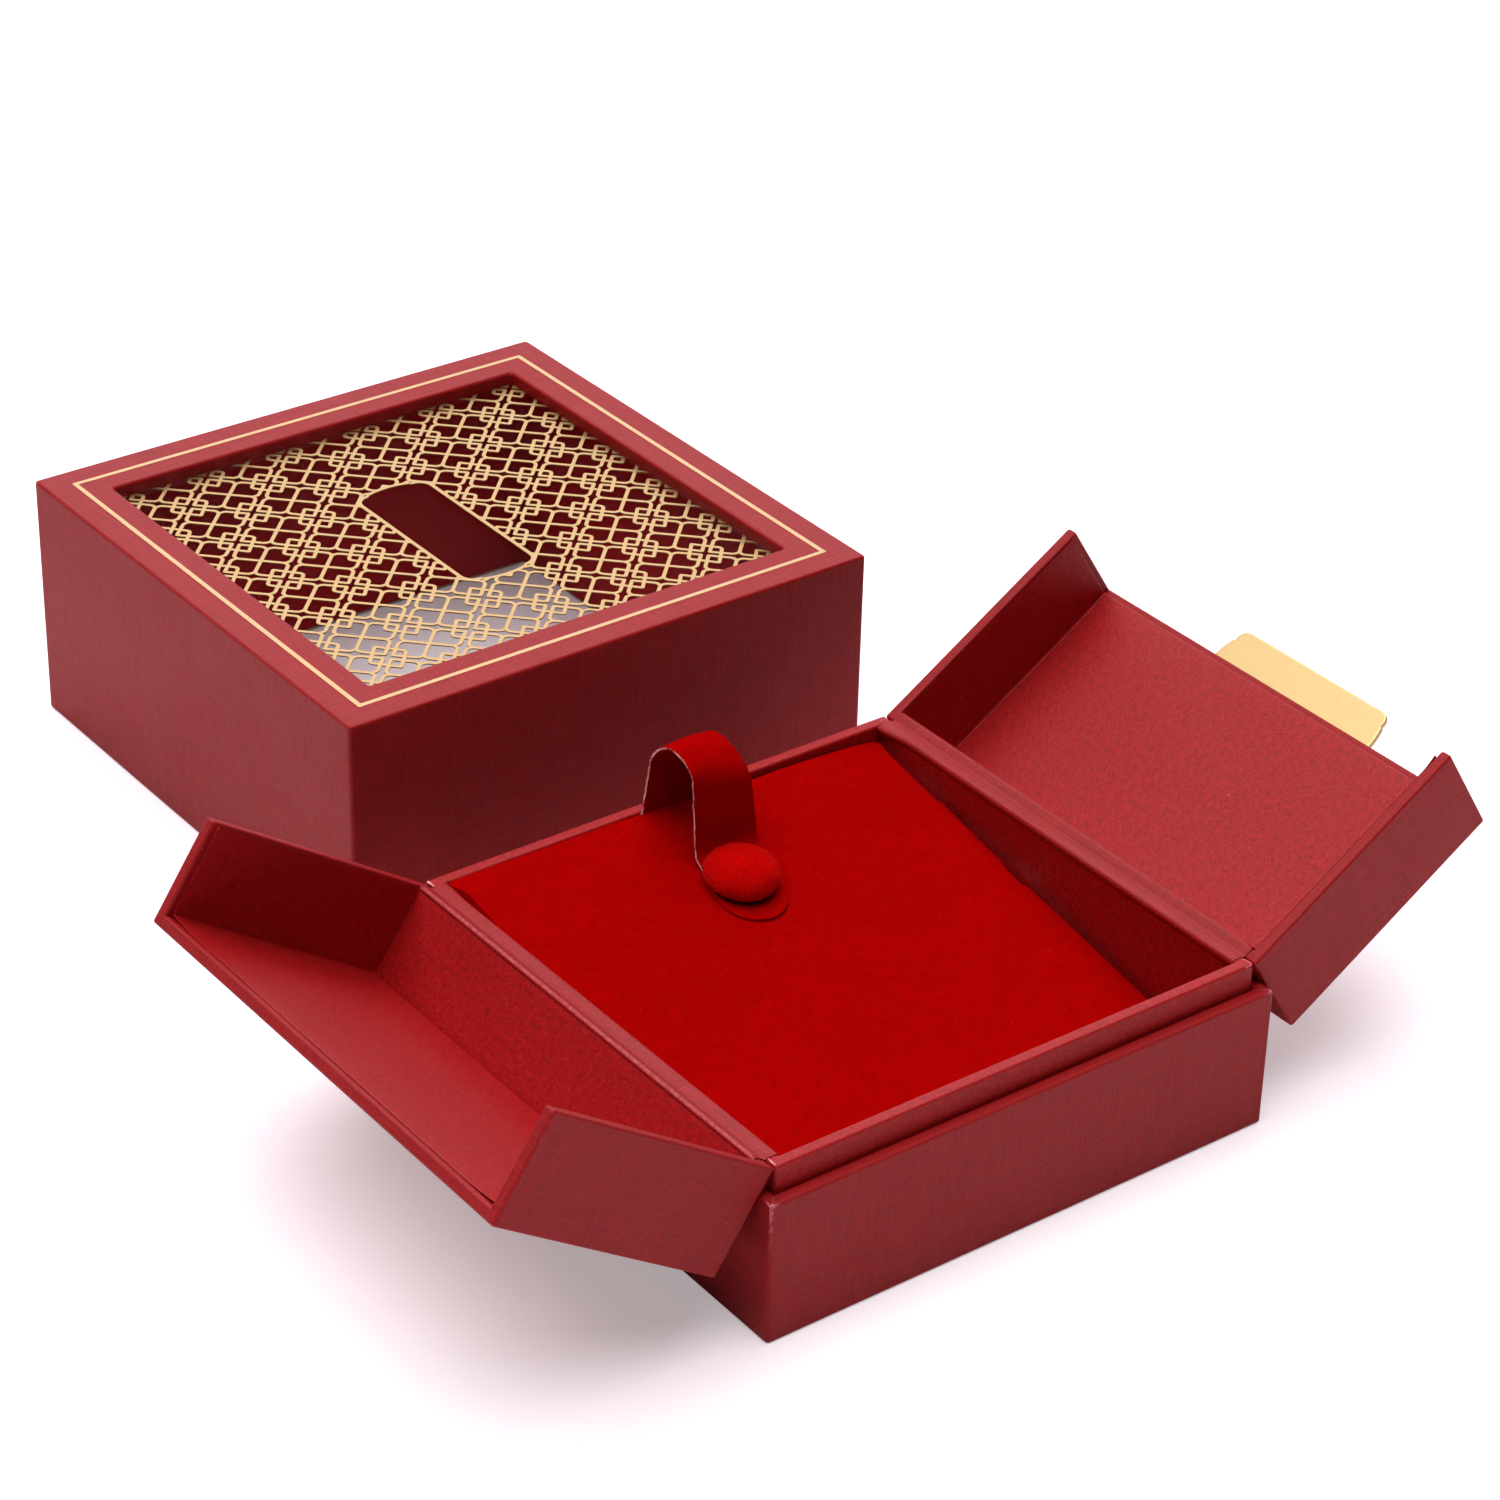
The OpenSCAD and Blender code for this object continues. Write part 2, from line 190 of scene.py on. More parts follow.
def arc2(cx, cy, r, a0, a1, n):
    return [(cx + r * math.cos(math.radians(a0 + (a1 - a0) * i / n)), cy + r * math.sin(math.radians(a0 + (a1 - a0) * i / n))) for i in range(n + 1)]


def wob(x, y, z, s, amp, seed=0.0):
    return amp * noise.noise(Vector((x / s + seed, y / s + 3.1 + seed, z / s - seed)))


def ring_sweep(hx, hy, prof, R, nc=4, sub=10, rmin=0.25, centre=(0, 0), wave=0.0, seed=0.0, close_end=False):
    """Sweeps a profile round a rectangle. prof rows are (inset d, z, edge weight). Returns verts, faces, edge weights."""
    verts, edge = [], []
    n_ring = None
    for d, z, e in prof:
        a, b = hx - d, hy - d
        r = max(R - d, rmin)
        pts, es = [], []
        corners = [(a - r, b - r, 0), (-(a - r), b - r, 90), (-(a - r), -(b - r), 180), (a - r, -(b - r), 270)]
        for k, (cx, cy, a0) in enumerate(corners):
            for i in range(nc + 1):
                t = math.radians(a0 + 90 * i / nc)
                pts.append((cx + r * math.cos(t), cy + r * math.sin(t)))
                es.append(0.0 if i in (0, nc) else 1.0)
            nx, ny, na = corners[(k + 1) % 4]
            t = math.radians(na)
            end = (nx + r * math.cos(t), ny + r * math.sin(t))
            start = pts[-1]
            run = math.hypot(end[0] - start[0], end[1] - start[1])
            near = [1.4 / run, 3.0 / run]
            for f in sorted(near + [i / sub for i in range(1, sub)] + [1 - q for q in near]):
                pts.append((start[0] + (end[0] - start[0]) * f, start[1] + (end[1] - start[1]) * f))
                es.append(0.0)
        n_ring = len(pts)
        for (x, y), c in zip(pts, es):
            wx = wy = wz = 0.0
            if wave:
                w = noise.noise(Vector((x / 23 + seed, y / 23 - seed, z / 17 + seed))) * wave
                if abs(abs(x) - a) < 1e-6:
                    wx = w * (1 if x > 0 else -1)
                if abs(abs(y) - b) < 1e-6:
                    wy = w * (1 if y > 0 else -1)
            verts.append((centre[0] + x + wx, centre[1] + y + wy, z + wz))
            edge.append(max(c, e))
    faces = []
    for i in range(len(prof) - 1):
        for j in range(n_ring):
            k = (j + 1) % n_ring
            faces.append((i * n_ring + j, i * n_ring + k, (i + 1) * n_ring + k, (i + 1) * n_ring + j))
    if close_end:
        base = (len(prof) - 1) * n_ring
        faces.append(tuple(base + j for j in range(n_ring)))
    return verts, faces, edge


def rub(verts, edge, corners, gain=1.2, reach=1.3):
    """Adds wear at the box's outer corners to the edge weights (over 1 shows the paper's core)."""
    out = list(edge)
    for i, p in enumerate(verts):
        d = min(math.dist(p, c) for c in corners)
        if d < reach and out[i] > 0.4:
            out[i] += gain * (1 - d / reach)
    return out


def rprof(pts, r_list, seg=4):
    """A profile of straight runs with rounded corners. pts rows are (d, z), r_list the radius at each inner point. Gives rows (d, z, e)."""
    out = [(pts[0][0], pts[0][1], 0.0)]
    for i in range(1, len(pts) - 1):
        p, a, b = Vector(pts[i]), Vector(pts[i - 1]), Vector(pts[i + 1])
        r = r_list[i - 1]
        da, db = (a - p).normalized(), (b - p).normalized()
        if r <= 0:
            out.append((p.x, p.y, 0.0))
            continue
        s, e = p + da * r, p + db * r
        c = p + da * r + db * r
        a0 = math.atan2(s.y - c.y, s.x - c.x)
        a1 = math.atan2(e.y - c.y, e.x - c.x)
        while a1 - a0 > math.pi:
            a1 -= 2 * math.pi
        while a1 - a0 < -math.pi:
            a1 += 2 * math.pi
        for k in range(seg + 1):
            t = a0 + (a1 - a0) * k / seg
            out.append((c.x + r * math.cos(t), c.y + r * math.sin(t), 0.0 if k in (0, seg) else 1.0))
    out.append((pts[-1][0], pts[-1][1], 0.0))
    return out


def dense(prof, step):
    """Adds points on long straight runs of a profile."""
    out = [prof[0]]
    for a, b in zip(prof, prof[1:]):
        L = math.hypot(b[0] - a[0], b[1] - a[1])
        n = max(1, int(L / step))
        for i in range(1, n + 1):
            f = i / n
            e = b[2] if i == n else 0.0
            out.append((a[0] + (b[0] - a[0]) * f, a[1] + (b[1] - a[1]) * f, e))
    return out


# ------------------------------------------------------------------ materials
class NT:
    def __init__(self, name):
        self.m = bpy.data.materials.new(name)
        self.m.use_nodes = True
        self.t = self.m.node_tree
        self.bsdf = next(n for n in self.t.nodes if n.type == "BSDF_PRINCIPLED")
        self.out = next(n for n in self.t.nodes if n.type == "OUTPUT_MATERIAL")

    def new(self, kind, **kw):
        n = self.t.nodes.new(kind)
        for k, v in kw.items():
            setattr(n, k, v)
        return n

    def put(self, sock, v):
        if isinstance(v, bpy.types.NodeSocket):
            self.t.links.new(v, sock)
        else:
            sock.default_value = v

    def math(self, op, a, b=None, c=None, clamp=False):
        n = self.new("ShaderNodeMath", operation=op, use_clamp=clamp)
        self.put(n.inputs[0], a)
        if b is not None:
            self.put(n.inputs[1], b)
        if c is not None:
            self.put(n.inputs[2], c)
        return n.outputs[0]

    def noise(self, vec, scale, detail=2.0, rough=0.5, dist=0.0):
        n = self.new("ShaderNodeTexNoise")
        self.put(n.inputs["Vector"], vec)
        n.inputs["Scale"].default_value = scale
        n.inputs["Detail"].default_value = detail
        n.inputs["Roughness"].default_value = rough
        n.inputs["Distortion"].default_value = dist
        return n.outputs["Fac"]

    def mapping(self, vec, scale=(1, 1, 1), loc=(0, 0, 0), rot=(0, 0, 0)):
        n = self.new("ShaderNodeMapping")
        self.put(n.inputs["Vector"], vec)
        n.inputs["Scale"].default_value = scale
        n.inputs["Location"].default_value = loc
        n.inputs["Rotation"].default_value = rot
        return n.outputs[0]

    def ramp(self, fac, stops):
        n = self.new("ShaderNodeValToRGB")
        self.put(n.inputs[0], fac)
        el = n.color_ramp.elements
        while len(el) < len(stops):
            el.new(0.5)
        for e, (p, c) in zip(el, stops):
            e.position = p
            e.color = (*c, 1.0) if len(c) == 3 else c
        return n.outputs[0]

    def mix(self, fac, a, b, blend="MIX"):
        n = self.new("ShaderNodeMix", data_type="RGBA", blend_type=blend)
        self.put(n.inputs[0], fac)
        for s, v in ((n.inputs[6], a), (n.inputs[7], b)):
            if isinstance(v, tuple):
                s.default_value = (*v, 1.0) if len(v) == 3 else v
            else:
                self.put(s, v)
        return n.outputs[2]

    def maprange(self, v, a, b, c, d):
        n = self.new("ShaderNodeMapRange")
        self.put(n.inputs[0], v)
        for i, x in zip((1, 2, 3, 4), (a, b, c, d)):
            n.inputs[i].default_value = x
        return n.outputs[0]

    def attr(self, name, out="Vector"):
        return self.new("ShaderNodeAttribute", attribute_type="GEOMETRY", attribute_name=name).outputs[out]

    def obj(self):
        return self.new("ShaderNodeTexCoord").outputs["Object"]

    def bump(self, h, strength, dist):
        n = self.new("ShaderNodeBump")
        n.inputs["Strength"].default_value = strength
        n.inputs["Distance"].default_value = dist
        self.put(n.inputs["Height"], h)
        self.put(self.bsdf.inputs["Normal"], n.outputs[0])

    def set(self, **kw):
        names = {"base": "Base Color", "rough": "Roughness", "metal": "Metallic", "spec": "Specular IOR Level", "sheen": "Sheen Weight",
                 "sheen_rough": "Sheen Roughness", "sheen_tint": "Sheen Tint", "ior": "IOR", "trans": "Transmission Weight", "alpha": "Alpha",
                 "coat": "Coat Weight", "coat_rough": "Coat Roughness", "aniso": "Anisotropic", "spec_tint": "Specular Tint"}
        for k, v in kw.items():
            s = self.bsdf.inputs[names[k]]
            if isinstance(v, tuple) and len(v) == 3:
                v = (*v, 1.0)
            self.put(s, v)
        return self.m


def weave(N, uv, pitch=0.42):
    """Height of a fine linen emboss, from coordinates in metres: threads both ways, each with its own weight."""
    mm = N.mapping(uv, scale=(1000, 1000, 1000))
    sep = N.new("ShaderNodeSeparateXYZ")
    N.put(sep.inputs[0], mm)
    u, v = sep.outputs[0], sep.outputs[1]
    warp_n = N.noise(N.mapping(mm, scale=(2.2, 0.10, 1.0)), 1.0, 2.0, 0.6)
    weft_n = N.noise(N.mapping(mm, scale=(0.10, 2.2, 1.0), loc=(31, 7, 2)), 1.0, 2.0, 0.6)
    jit = N.noise(N.mapping(mm, scale=(0.55, 0.55, 0.55), loc=(5, 9, 1)), 1.0, 1.0, 0.5)
    su = N.math("SINE", N.math("MULTIPLY_ADD", u, 2 * math.pi / pitch, N.math("MULTIPLY", jit, 5.0)))
    sv = N.math("SINE", N.math("MULTIPLY_ADD", v, 2 * math.pi / (pitch * 1.06), N.math("MULTIPLY", jit, 4.2)))
    over = N.math("MULTIPLY", su, sv)
    a = N.math("MULTIPLY", N.math("ADD", su, 1.0), N.maprange(warp_n, 0.3, 0.7, 0.12, 0.42))
    b = N.math("MULTIPLY", N.math("ADD", sv, 1.0), N.maprange(weft_n, 0.3, 0.7, 0.12, 0.42))
    h = N.math("ADD", N.math("ADD", a, b), N.math("MULTIPLY", over, 0.28))
    return mm, h, warp_n, weft_n


def paper(name, col, use_attr=True, rough=(0.44, 0.58), bump=0.70, wear=0.60, spec=0.25, contrast=0.24, pitch=0.40, fold=False, grain=0.0):
    N = NT(name)
    uv = N.attr("tex") if use_attr else N.obj()
    mm, h, wn, fn = weave(N, uv, pitch)
    if grain:
        gn = N.noise(N.mapping(mm, scale=(2.1, 2.1, 2.1), loc=(9, 2, 6)), 1.0, 2.0, 0.6)
        g2 = N.noise(N.mapping(mm, scale=(0.9, 0.9, 0.9), loc=(1, 8, 3)), 1.0, 1.0, 0.5)
        h = N.math("ADD", N.math("MULTIPLY", h, 1 - grain), N.math("MULTIPLY", N.math("ADD", gn, N.math("MULTIPLY", g2, 0.4)), 1.5 * grain))
        wn, fn = gn, g2
    c = np.array(col)
    dark = tuple(c * (1 - contrast))
    light = tuple(np.minimum(c * (1 + contrast) + contrast * 0.004, 1))
    threads = N.math("ADD", N.math("MULTIPLY", wn, 0.34), N.math("ADD", N.math("MULTIPLY", fn, 0.34), N.math("MULTIPLY", h, 0.20)))
    base = N.ramp(threads, [(0.28, dark), (0.52, tuple(c)), (0.80, light)])
    mottle = N.noise(N.mapping(mm, scale=(0.06, 0.06, 0.06)), 1.0, 3.0, 0.55)
    base = N.mix(N.maprange(mottle, 0.35, 0.7, 0.0, 0.22), base, tuple(c * 0.86), "MIX")
    # worn edges: lighter where the sheet is folded over a board's edge
    e = N.attr("edge", "Fac")
    broken = N.noise(N.mapping(mm, scale=(1.1, 1.1, 1.1), loc=(3, 3, 3)), 1.0, 3.0, 0.65)
    w = N.math("MULTIPLY", N.math("MULTIPLY", e, N.maprange(broken, 0.35, 0.75, 0.45, 1.0), clamp=True), wear, clamp=True)
    base = N.mix(w, base, tuple(c * np.array([0.92, 0.30, 0.30])))
    core = N.math("MULTIPLY", N.math("ADD", e, -1.0, clamp=True), N.maprange(broken, 0.40, 0.60, 0.2, 1.0), clamp=True)
    base = N.mix(core, base, (0.78, 0.24, 0.28))
    # a few specks of lint
    speck = N.noise(N.mapping(mm, scale=(1.7, 1.7, 1.7), loc=(11, 5, 8)), 1.0, 0.0, 0.5)
    base = N.mix(N.maprange(speck, 0.905, 0.925, 0.0, 0.4), base, (0.72, 0.40, 0.40))
    N.set(base=base, rough=N.maprange(N.math("ADD", N.math("MULTIPLY", mottle, 0.5), N.math("MULTIPLY", h, 0.25)), 0.2, 0.8, rough[1], rough[0]),
          spec=spec)
    N.bump(h, bump, 0.00006)
    return N.m


def velvet(name, col, fuzz=1.0):
    N = NT(name)
    p = N.mapping(N.obj(), scale=(1000, 1000, 1000))
    pile = N.noise(p, 2.6, 4.0, 0.7)
    brush = N.noise(N.mapping(p, scale=(0.05, 0.09, 0.06), rot=(0, 0, 0.5)), 1.0, 3.0, 0.55, 0.6)
    clump = N.noise(N.mapping(p, scale=(0.5, 0.5, 0.5)), 1.0, 3.0, 0.6)
    c = np.array(col)
    base = N.ramp(N.math("ADD", N.math("MULTIPLY", pile, 0.45), N.math("MULTIPLY", clump, 0.55)),
                  [(0.30, tuple(c * 0.82)), (0.50, tuple(c)), (0.72, tuple(np.minimum(c * 1.14, 1)))])
    base = N.mix(N.maprange(brush, 0.38, 0.66, 0.0, 0.30), base, tuple(c * 0.80))
    # light specks in the pile: lint; with fuzz over 1, on the button, they are stronger and also stand for glints of
    # the fuzz, a painted highlight
    spark = N.noise(N.mapping(p, loc=(4, 4, 4)), 3.6, 0.0, 0.5)
    base = N.mix(N.maprange(spark, 0.865, 0.90, 0.0, 0.26 * fuzz), base, (0.85, 0.16, 0.14))
    N.set(base=base, rough=0.92, spec=0.0, sheen=0.30 * fuzz, sheen_rough=0.42, sheen_tint=(1.0, 0.008, 0.006) if fuzz <= 1 else (1.0, 0.030, 0.022))
    N.bump(N.math("ADD", N.math("MULTIPLY", pile, 0.7), N.math("MULTIPLY", clump, 0.5)), 0.5 * min(fuzz, 1.4), 0.00018)
    return N.m


def gold(name, col, rough=0.34, bump=0.12, brushed=False):
    N = NT(name)
    p = N.mapping(N.obj(), scale=(1000, 1000, 1000))
    n1 = N.noise(N.mapping(p, scale=(0.30, 0.30, 0.30)), 1.0, 3.0, 0.6)
    n2 = N.noise(p, 3.0, 3.0, 0.65)
    line = N.noise(N.mapping(p, scale=(0.4, 6.0, 0.4)) if brushed else p, 1.0, 2.0, 0.6)
    c = np.array(col)
    base = N.ramp(N.math("ADD", N.math("MULTIPLY", n1, 0.6), N.math("MULTIPLY", n2, 0.4)),
                  [(0.3, tuple(c * 0.88)), (0.55, tuple(c)), (0.8, tuple(np.minimum(c * 1.08, 1)))])
    N.set(base=base, metal=1.0, rough=N.maprange(N.math("ADD", N.math("MULTIPLY", n1, 0.5), N.math("MULTIPLY", line, 0.5)), 0.3, 0.7, rough - 0.07, rough + 0.10))
    N.bump(N.math("ADD", N.math("MULTIPLY", n2, 0.5), N.math("MULTIPLY", line, 0.6)), bump, 0.00004)
    return N.m


def board(name, col):
    N = NT(name)
    p = N.mapping(N.obj(), scale=(1000, 1000, 1000))
    f = N.noise(N.mapping(p, scale=(0.8, 2.6, 2.6)), 1.0, 4.0, 0.7)
    s = N.noise(p, 2.2, 2.0, 0.6)
    c = np.array(col)
    base = N.ramp(f, [(0.3, tuple(c * 0.8)), (0.55, tuple(c)), (0.8, tuple(np.minimum(c * 1.15, 1)))])
    base = N.mix(N.maprange(s, 0.70, 0.78, 0.0, 0.6), base, tuple(c * 0.45))
    N.set(base=base, rough=N.maprange(f, 0.3, 0.7, 0.8, 0.95), spec=0.2)
    N.bump(N.math("ADD", f, s), 0.5, 0.0001)
    return N.m


RED = (0.330, 0.0036, 0.0055)
M_OUT = paper("paper_outer", RED, contrast=0.32)
M_IN = paper("paper_inner", (0.330, 0.0038, 0.0050), wear=0.5, bump=0.95, contrast=0.50, grain=0.9)
M_IN_C = paper("paper_cover_inside", (0.330, 0.0038, 0.0050), wear=0.5, bump=0.40, contrast=0.16, spec=0.06, grain=0.9)
M_OUT_OBJ = paper("paper_plain", RED, use_attr=False)
M_HINGE = paper("paper_hinge", (0.330, 0.0050, 0.0065), bump=0.50, contrast=0.36, wear=0.3, spec=0.28)
M_VELVET = velvet("velvet", (0.322, 0.0006, 0.0006))
# The button is the pad's velvet with a lighter base (0.50 against 0.322), a painted brightening; its nap fibres are
# lighter still, painted sheen on the fuzz.
M_VELVET_B = velvet("velvet_button", (0.500, 0.0012, 0.0010), 1.6)
M_NAP = velvet("velvet_nap", (0.640, 0.0120, 0.0100), 1.6)
M_GREY = board("greyboard", (0.42, 0.34, 0.24))
M_GOLD = gold("gold_plate", (0.515, 0.370, 0.170), 0.42, 0.12, True)
M_FOIL = gold("gold_foil", (0.560, 0.390, 0.200), 0.38, 0.2)
M_LAT = gold("gold_lattice", (0.500, 0.350, 0.160), 0.44, 0.15)


# The lattice's sides and underside are a dark brown: painted shade, standing in for the dark band each strand shows
# along one side.
def lattice_side_shade():
    N = NT("lattice_side_painted_shade")
    p = N.mapping(N.obj(), scale=(1000, 1000, 1000))
    n = N.noise(p, 1.5, 3.0, 0.6)
    N.set(base=N.ramp(n, [(0.3, (0.16, 0.07, 0.02)), (0.7, (0.42, 0.22, 0.07))]), rough=N.maprange(n, 0.3, 0.7, 0.55, 0.75), metal=0.35)
    return N.m


M_LAT_SHADE = lattice_side_shade()


def raw_edge(name, a, b):
    N = NT(name)
    p = N.mapping(N.obj(), scale=(1000, 1000, 1000))
    n = N.math("ADD", N.math("MULTIPLY", N.noise(p, 1.6, 3.0, 0.65), 0.5), N.math("MULTIPLY", N.noise(p, 0.35, 1.0, 0.5), 0.5))
    mid = tuple((np.array(a) + np.array(b)) * 0.5)
    N.set(base=N.ramp(n, [(0.40, a), (0.50, mid), (0.60, b)]), rough=N.maprange(n, 0.3, 0.7, 0.8, 0.95), spec=0.15)
    N.bump(n, 0.5, 0.0001)
    return N.m


M_RAW = raw_edge("velvet_backing", (0.42, 0.02, 0.02), (0.95, 0.60, 0.60))
M_LIP = raw_edge("paper_raw_edge", (0.50, 0.06, 0.09), (0.86, 0.38, 0.42))


def metal(name, col, rough):
    N = NT(name)
    p = N.mapping(N.obj(), scale=(1000, 1000, 1000))
    n = N.noise(p, 0.9, 3.0, 0.6)
    c = np.array(col)
    N.set(base=N.ramp(n, [(0.3, tuple(c * 0.85)), (0.7, tuple(c))]), metal=1.0, rough=N.maprange(n, 0.3, 0.7, rough, rough + 0.12))
    N.bump(n, 0.1, 0.00005)
    return N.m


M_NICKEL = metal("nickel", (0.72, 0.70, 0.66), 0.22)


def foam():
    N = NT("foam")
    p = N.mapping(N.obj(), scale=(1000, 1000, 1000))
    v = N.new("ShaderNodeTexVoronoi")
    N.put(v.inputs["Vector"], p)
    v.inputs["Scale"].default_value = 1.4
    N.set(base=N.ramp(v.outputs["Distance"], [(0.0, (0.55, 0.48, 0.36)), (0.5, (0.82, 0.77, 0.66))]), rough=0.95, spec=0.1)
    N.bump(v.outputs["Distance"], 0.6, 0.0002)
    return N.m


def glue(name, col):
    N = NT(name)
    p = N.mapping(N.obj(), scale=(1000, 1000, 1000))
    n = N.noise(p, 0.8, 2.0, 0.5)
    c = np.array(col)
    N.set(base=N.ramp(n, [(0.3, tuple(c * 0.85)), (0.7, tuple(c))]), rough=N.maprange(n, 0.3, 0.7, 0.5, 0.7))
    N.bump(n, 0.15, 0.0001)
    return N.m


M_FOAM = foam()
M_GLUE = glue("adhesive", (0.72, 0.70, 0.64))


def film():
    """Thin clear film: see-through, with a gloss that grows at low angles."""
    N = NT("clear_film")
    p = N.mapping(N.obj(), scale=(1000, 1000, 1000))
    wave = N.noise(N.mapping(p, scale=(0.03, 0.03, 0.03)), 1.0, 2.0, 0.5)
    smear = N.noise(N.mapping(p, scale=(0.08, 0.02, 0.05), rot=(0, 0, 0.7)), 1.0, 3.0, 0.6)
    lw = N.new("ShaderNodeLayerWeight")
    lw.inputs["Blend"].default_value = 0.5
    f = N.math("POWER", lw.outputs["Facing"], 5.0)
    fres = N.math("MULTIPLY_ADD", f, 0.24, 0.003)
    N.set(base=N.ramp(smear, [(0.3, (0.020, 0.012, 0.016)), (0.7, (0.035, 0.022, 0.028))]), rough=N.maprange(smear, 0.3, 0.7, 0.03, 0.10), spec=0.18,
          alpha=N.math("MULTIPLY_ADD", smear, 0.005, fres, clamp=True))
    N.bump(wave, 0.25, 0.0008)
    return N.m


M_FILM = film()

# ------------------------------------------------------------------ shell
PIECES = {}


def crisp(ob):
    """Flat faces keep their own normal beside a rounded edge."""
    m = ob.modifiers.new("flat_faces", "WEIGHTED_NORMAL")
    m.keep_sharp = True
    m.weight = 50


def keep(ob, body, slot, *nodes):
    if ob.name.endswith(("paper", "lining", "card")):
        crisp(ob)
    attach(ob, body)
    if nodes:
        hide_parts(*nodes)
    PIECES[ob.name] = ob
    return ob


prof = rprof([(10.0, 0.0), (0.0, 0.0), (0.0, SH), (HW - SI, SH), (HW - SI, SH - 12)], [0.45, 0.55, 0.55])
prof = dense(prof, 6.5)
v, f, e = ring_sweep(HW, HW, prof, 0.7, wave=0.045, seed=1.3)
e = rub(v, e, [(a * (HW - 0.2), b * (HW - 0.2), SH) for a in (-1, 1) for b in (-1, 1)], 1.1, 1.3)
ob = finish_mesh("shell_paper", v, f, [M_OUT], edge=e)
solidify(ob, 0.22)
keep(ob, "base", "red_paper", "shell_wrap")

# ------------------------------------------------------------------ tray
prof = rprof([(0.0, TZ0), (0.0, TH), (HT - TC, TH), (HT - TC, TFZ)], [0.45, 0.5])
prof = dense(prof, 7)
v, f, e = ring_sweep(HT, HT, prof, 0.5, wave=0.035, seed=4.7, close_end=True)
ob = finish_mesh("tray_paper", v, f, [M_IN], edge=e)
solidify(ob, 0.2)
keep(ob, "base", "red_paper", "tray_wrap")


# ------------------------------------------------------------------ doors
def door_paper(side):
    s = 1 if side == "left" else -1
    U, Y, V0, V1, yi = DU, HT, DV0, DV1, TI - 0.12
    BI, PI = BU + 0.12, PV - 0.12
    P = {}
    bm = bmesh.new()

    def vert(u, y, v):
        k = (round(u, 4), round(y, 4), round(v, 4))
        if k not in P:
            P[k] = bm.verts.new((s * u, y, v))
        return P[k]

    def face(*pts):
        bm.faces.new([vert(*p) for p in pts])

    face((0, -Y, V1), (U, -Y, V1), (U, Y, V1), (0, Y, V1))
    face((0, -Y, V0), (0, Y, V0), (0, Y, V1), (0, -Y, V1))
    face((0, -Y, V0), (U, -Y, V0), (U, -Y, V1), (0, -Y, V1))
    face((0, Y, V0), (0, Y, V1), (U, Y, V1), (U, Y, V0))
    face((0, -Y, V0), (0, Y, V0), (U, Y, V0), (U, yi, V0), (BI, yi, V0), (BI, -yi, V0), (U, -yi, V0), (U, -Y, V0))
    face((U, -Y, V0), (U, -yi, V0), (U, -yi, PI), (U, yi, PI), (U, yi, V0), (U, Y, V0), (U, Y, V1), (U, -Y, V1))
    face((BI, -yi, PI), (U, -yi, PI), (U, yi, PI), (BI, yi, PI))
    face((BI, -yi, V0), (BI, yi, V0), (BI, yi, PI), (BI, -yi, PI))
    face((BI, -yi, V0), (BI, -yi, PI), (U, -yi, PI), (U, -yi, V0))
    face((BI, yi, V0), (U, yi, V0), (U, yi, PI), (BI, yi, PI))
    bmesh.ops.recalc_face_normals(bm, faces=bm.faces)
    convex = [ed for ed in bm.edges if ed.is_convex and len(ed.link_faces) == 2]
    bmesh.ops.bevel(bm, geom=convex, offset=0.5, segments=4, profile=0.5, affect="EDGES", clamp_overlap=True)
    bmesh.ops.subdivide_edges(bm, edges=[ed for ed in bm.edges if ed.calc_length() > 12], cuts=5, use_grid_fill=True)
    bmesh.ops.recalc_face_normals(bm, faces=bm.faces)
    bm.normal_update()
    edge = []
    for vv in bm.verts:
        flat = any(max(abs(c) for c in ff.normal) > 0.9995 for ff in vv.link_faces)
        edge.append(0.0 if flat else 1.0)
    co = np.array([vv.co for vv in bm.verts])
    nor = np.array([vv.normal for vv in bm.verts])
    for i in range(len(co)):
        if edge[i] == 0:
            w = wob(co[i][0], co[i][1], co[i][2], 22, 0.035, 2.0 if s > 0 else 9.0)
            inside = 2 < abs(co[i][0]) < U - 2 or abs(co[i][1]) < Y - 3
            co[i] += nor[i] * w * (1 if inside else 0)
    faces = [[vv.index for vv in ff.verts] for ff in bm.faces]
    bm.verts.index_update()
    faces = [[vv.index for vv in ff.verts] for ff in bm.faces]
    bm.free()
    ob = finish_mesh(side + "_door_paper", co, faces, [M_OUT], mat=door_mat(side), edge=edge, local=co)
    keep(ob, side + "_door", "red_paper", side + "_wrap")
    return ob


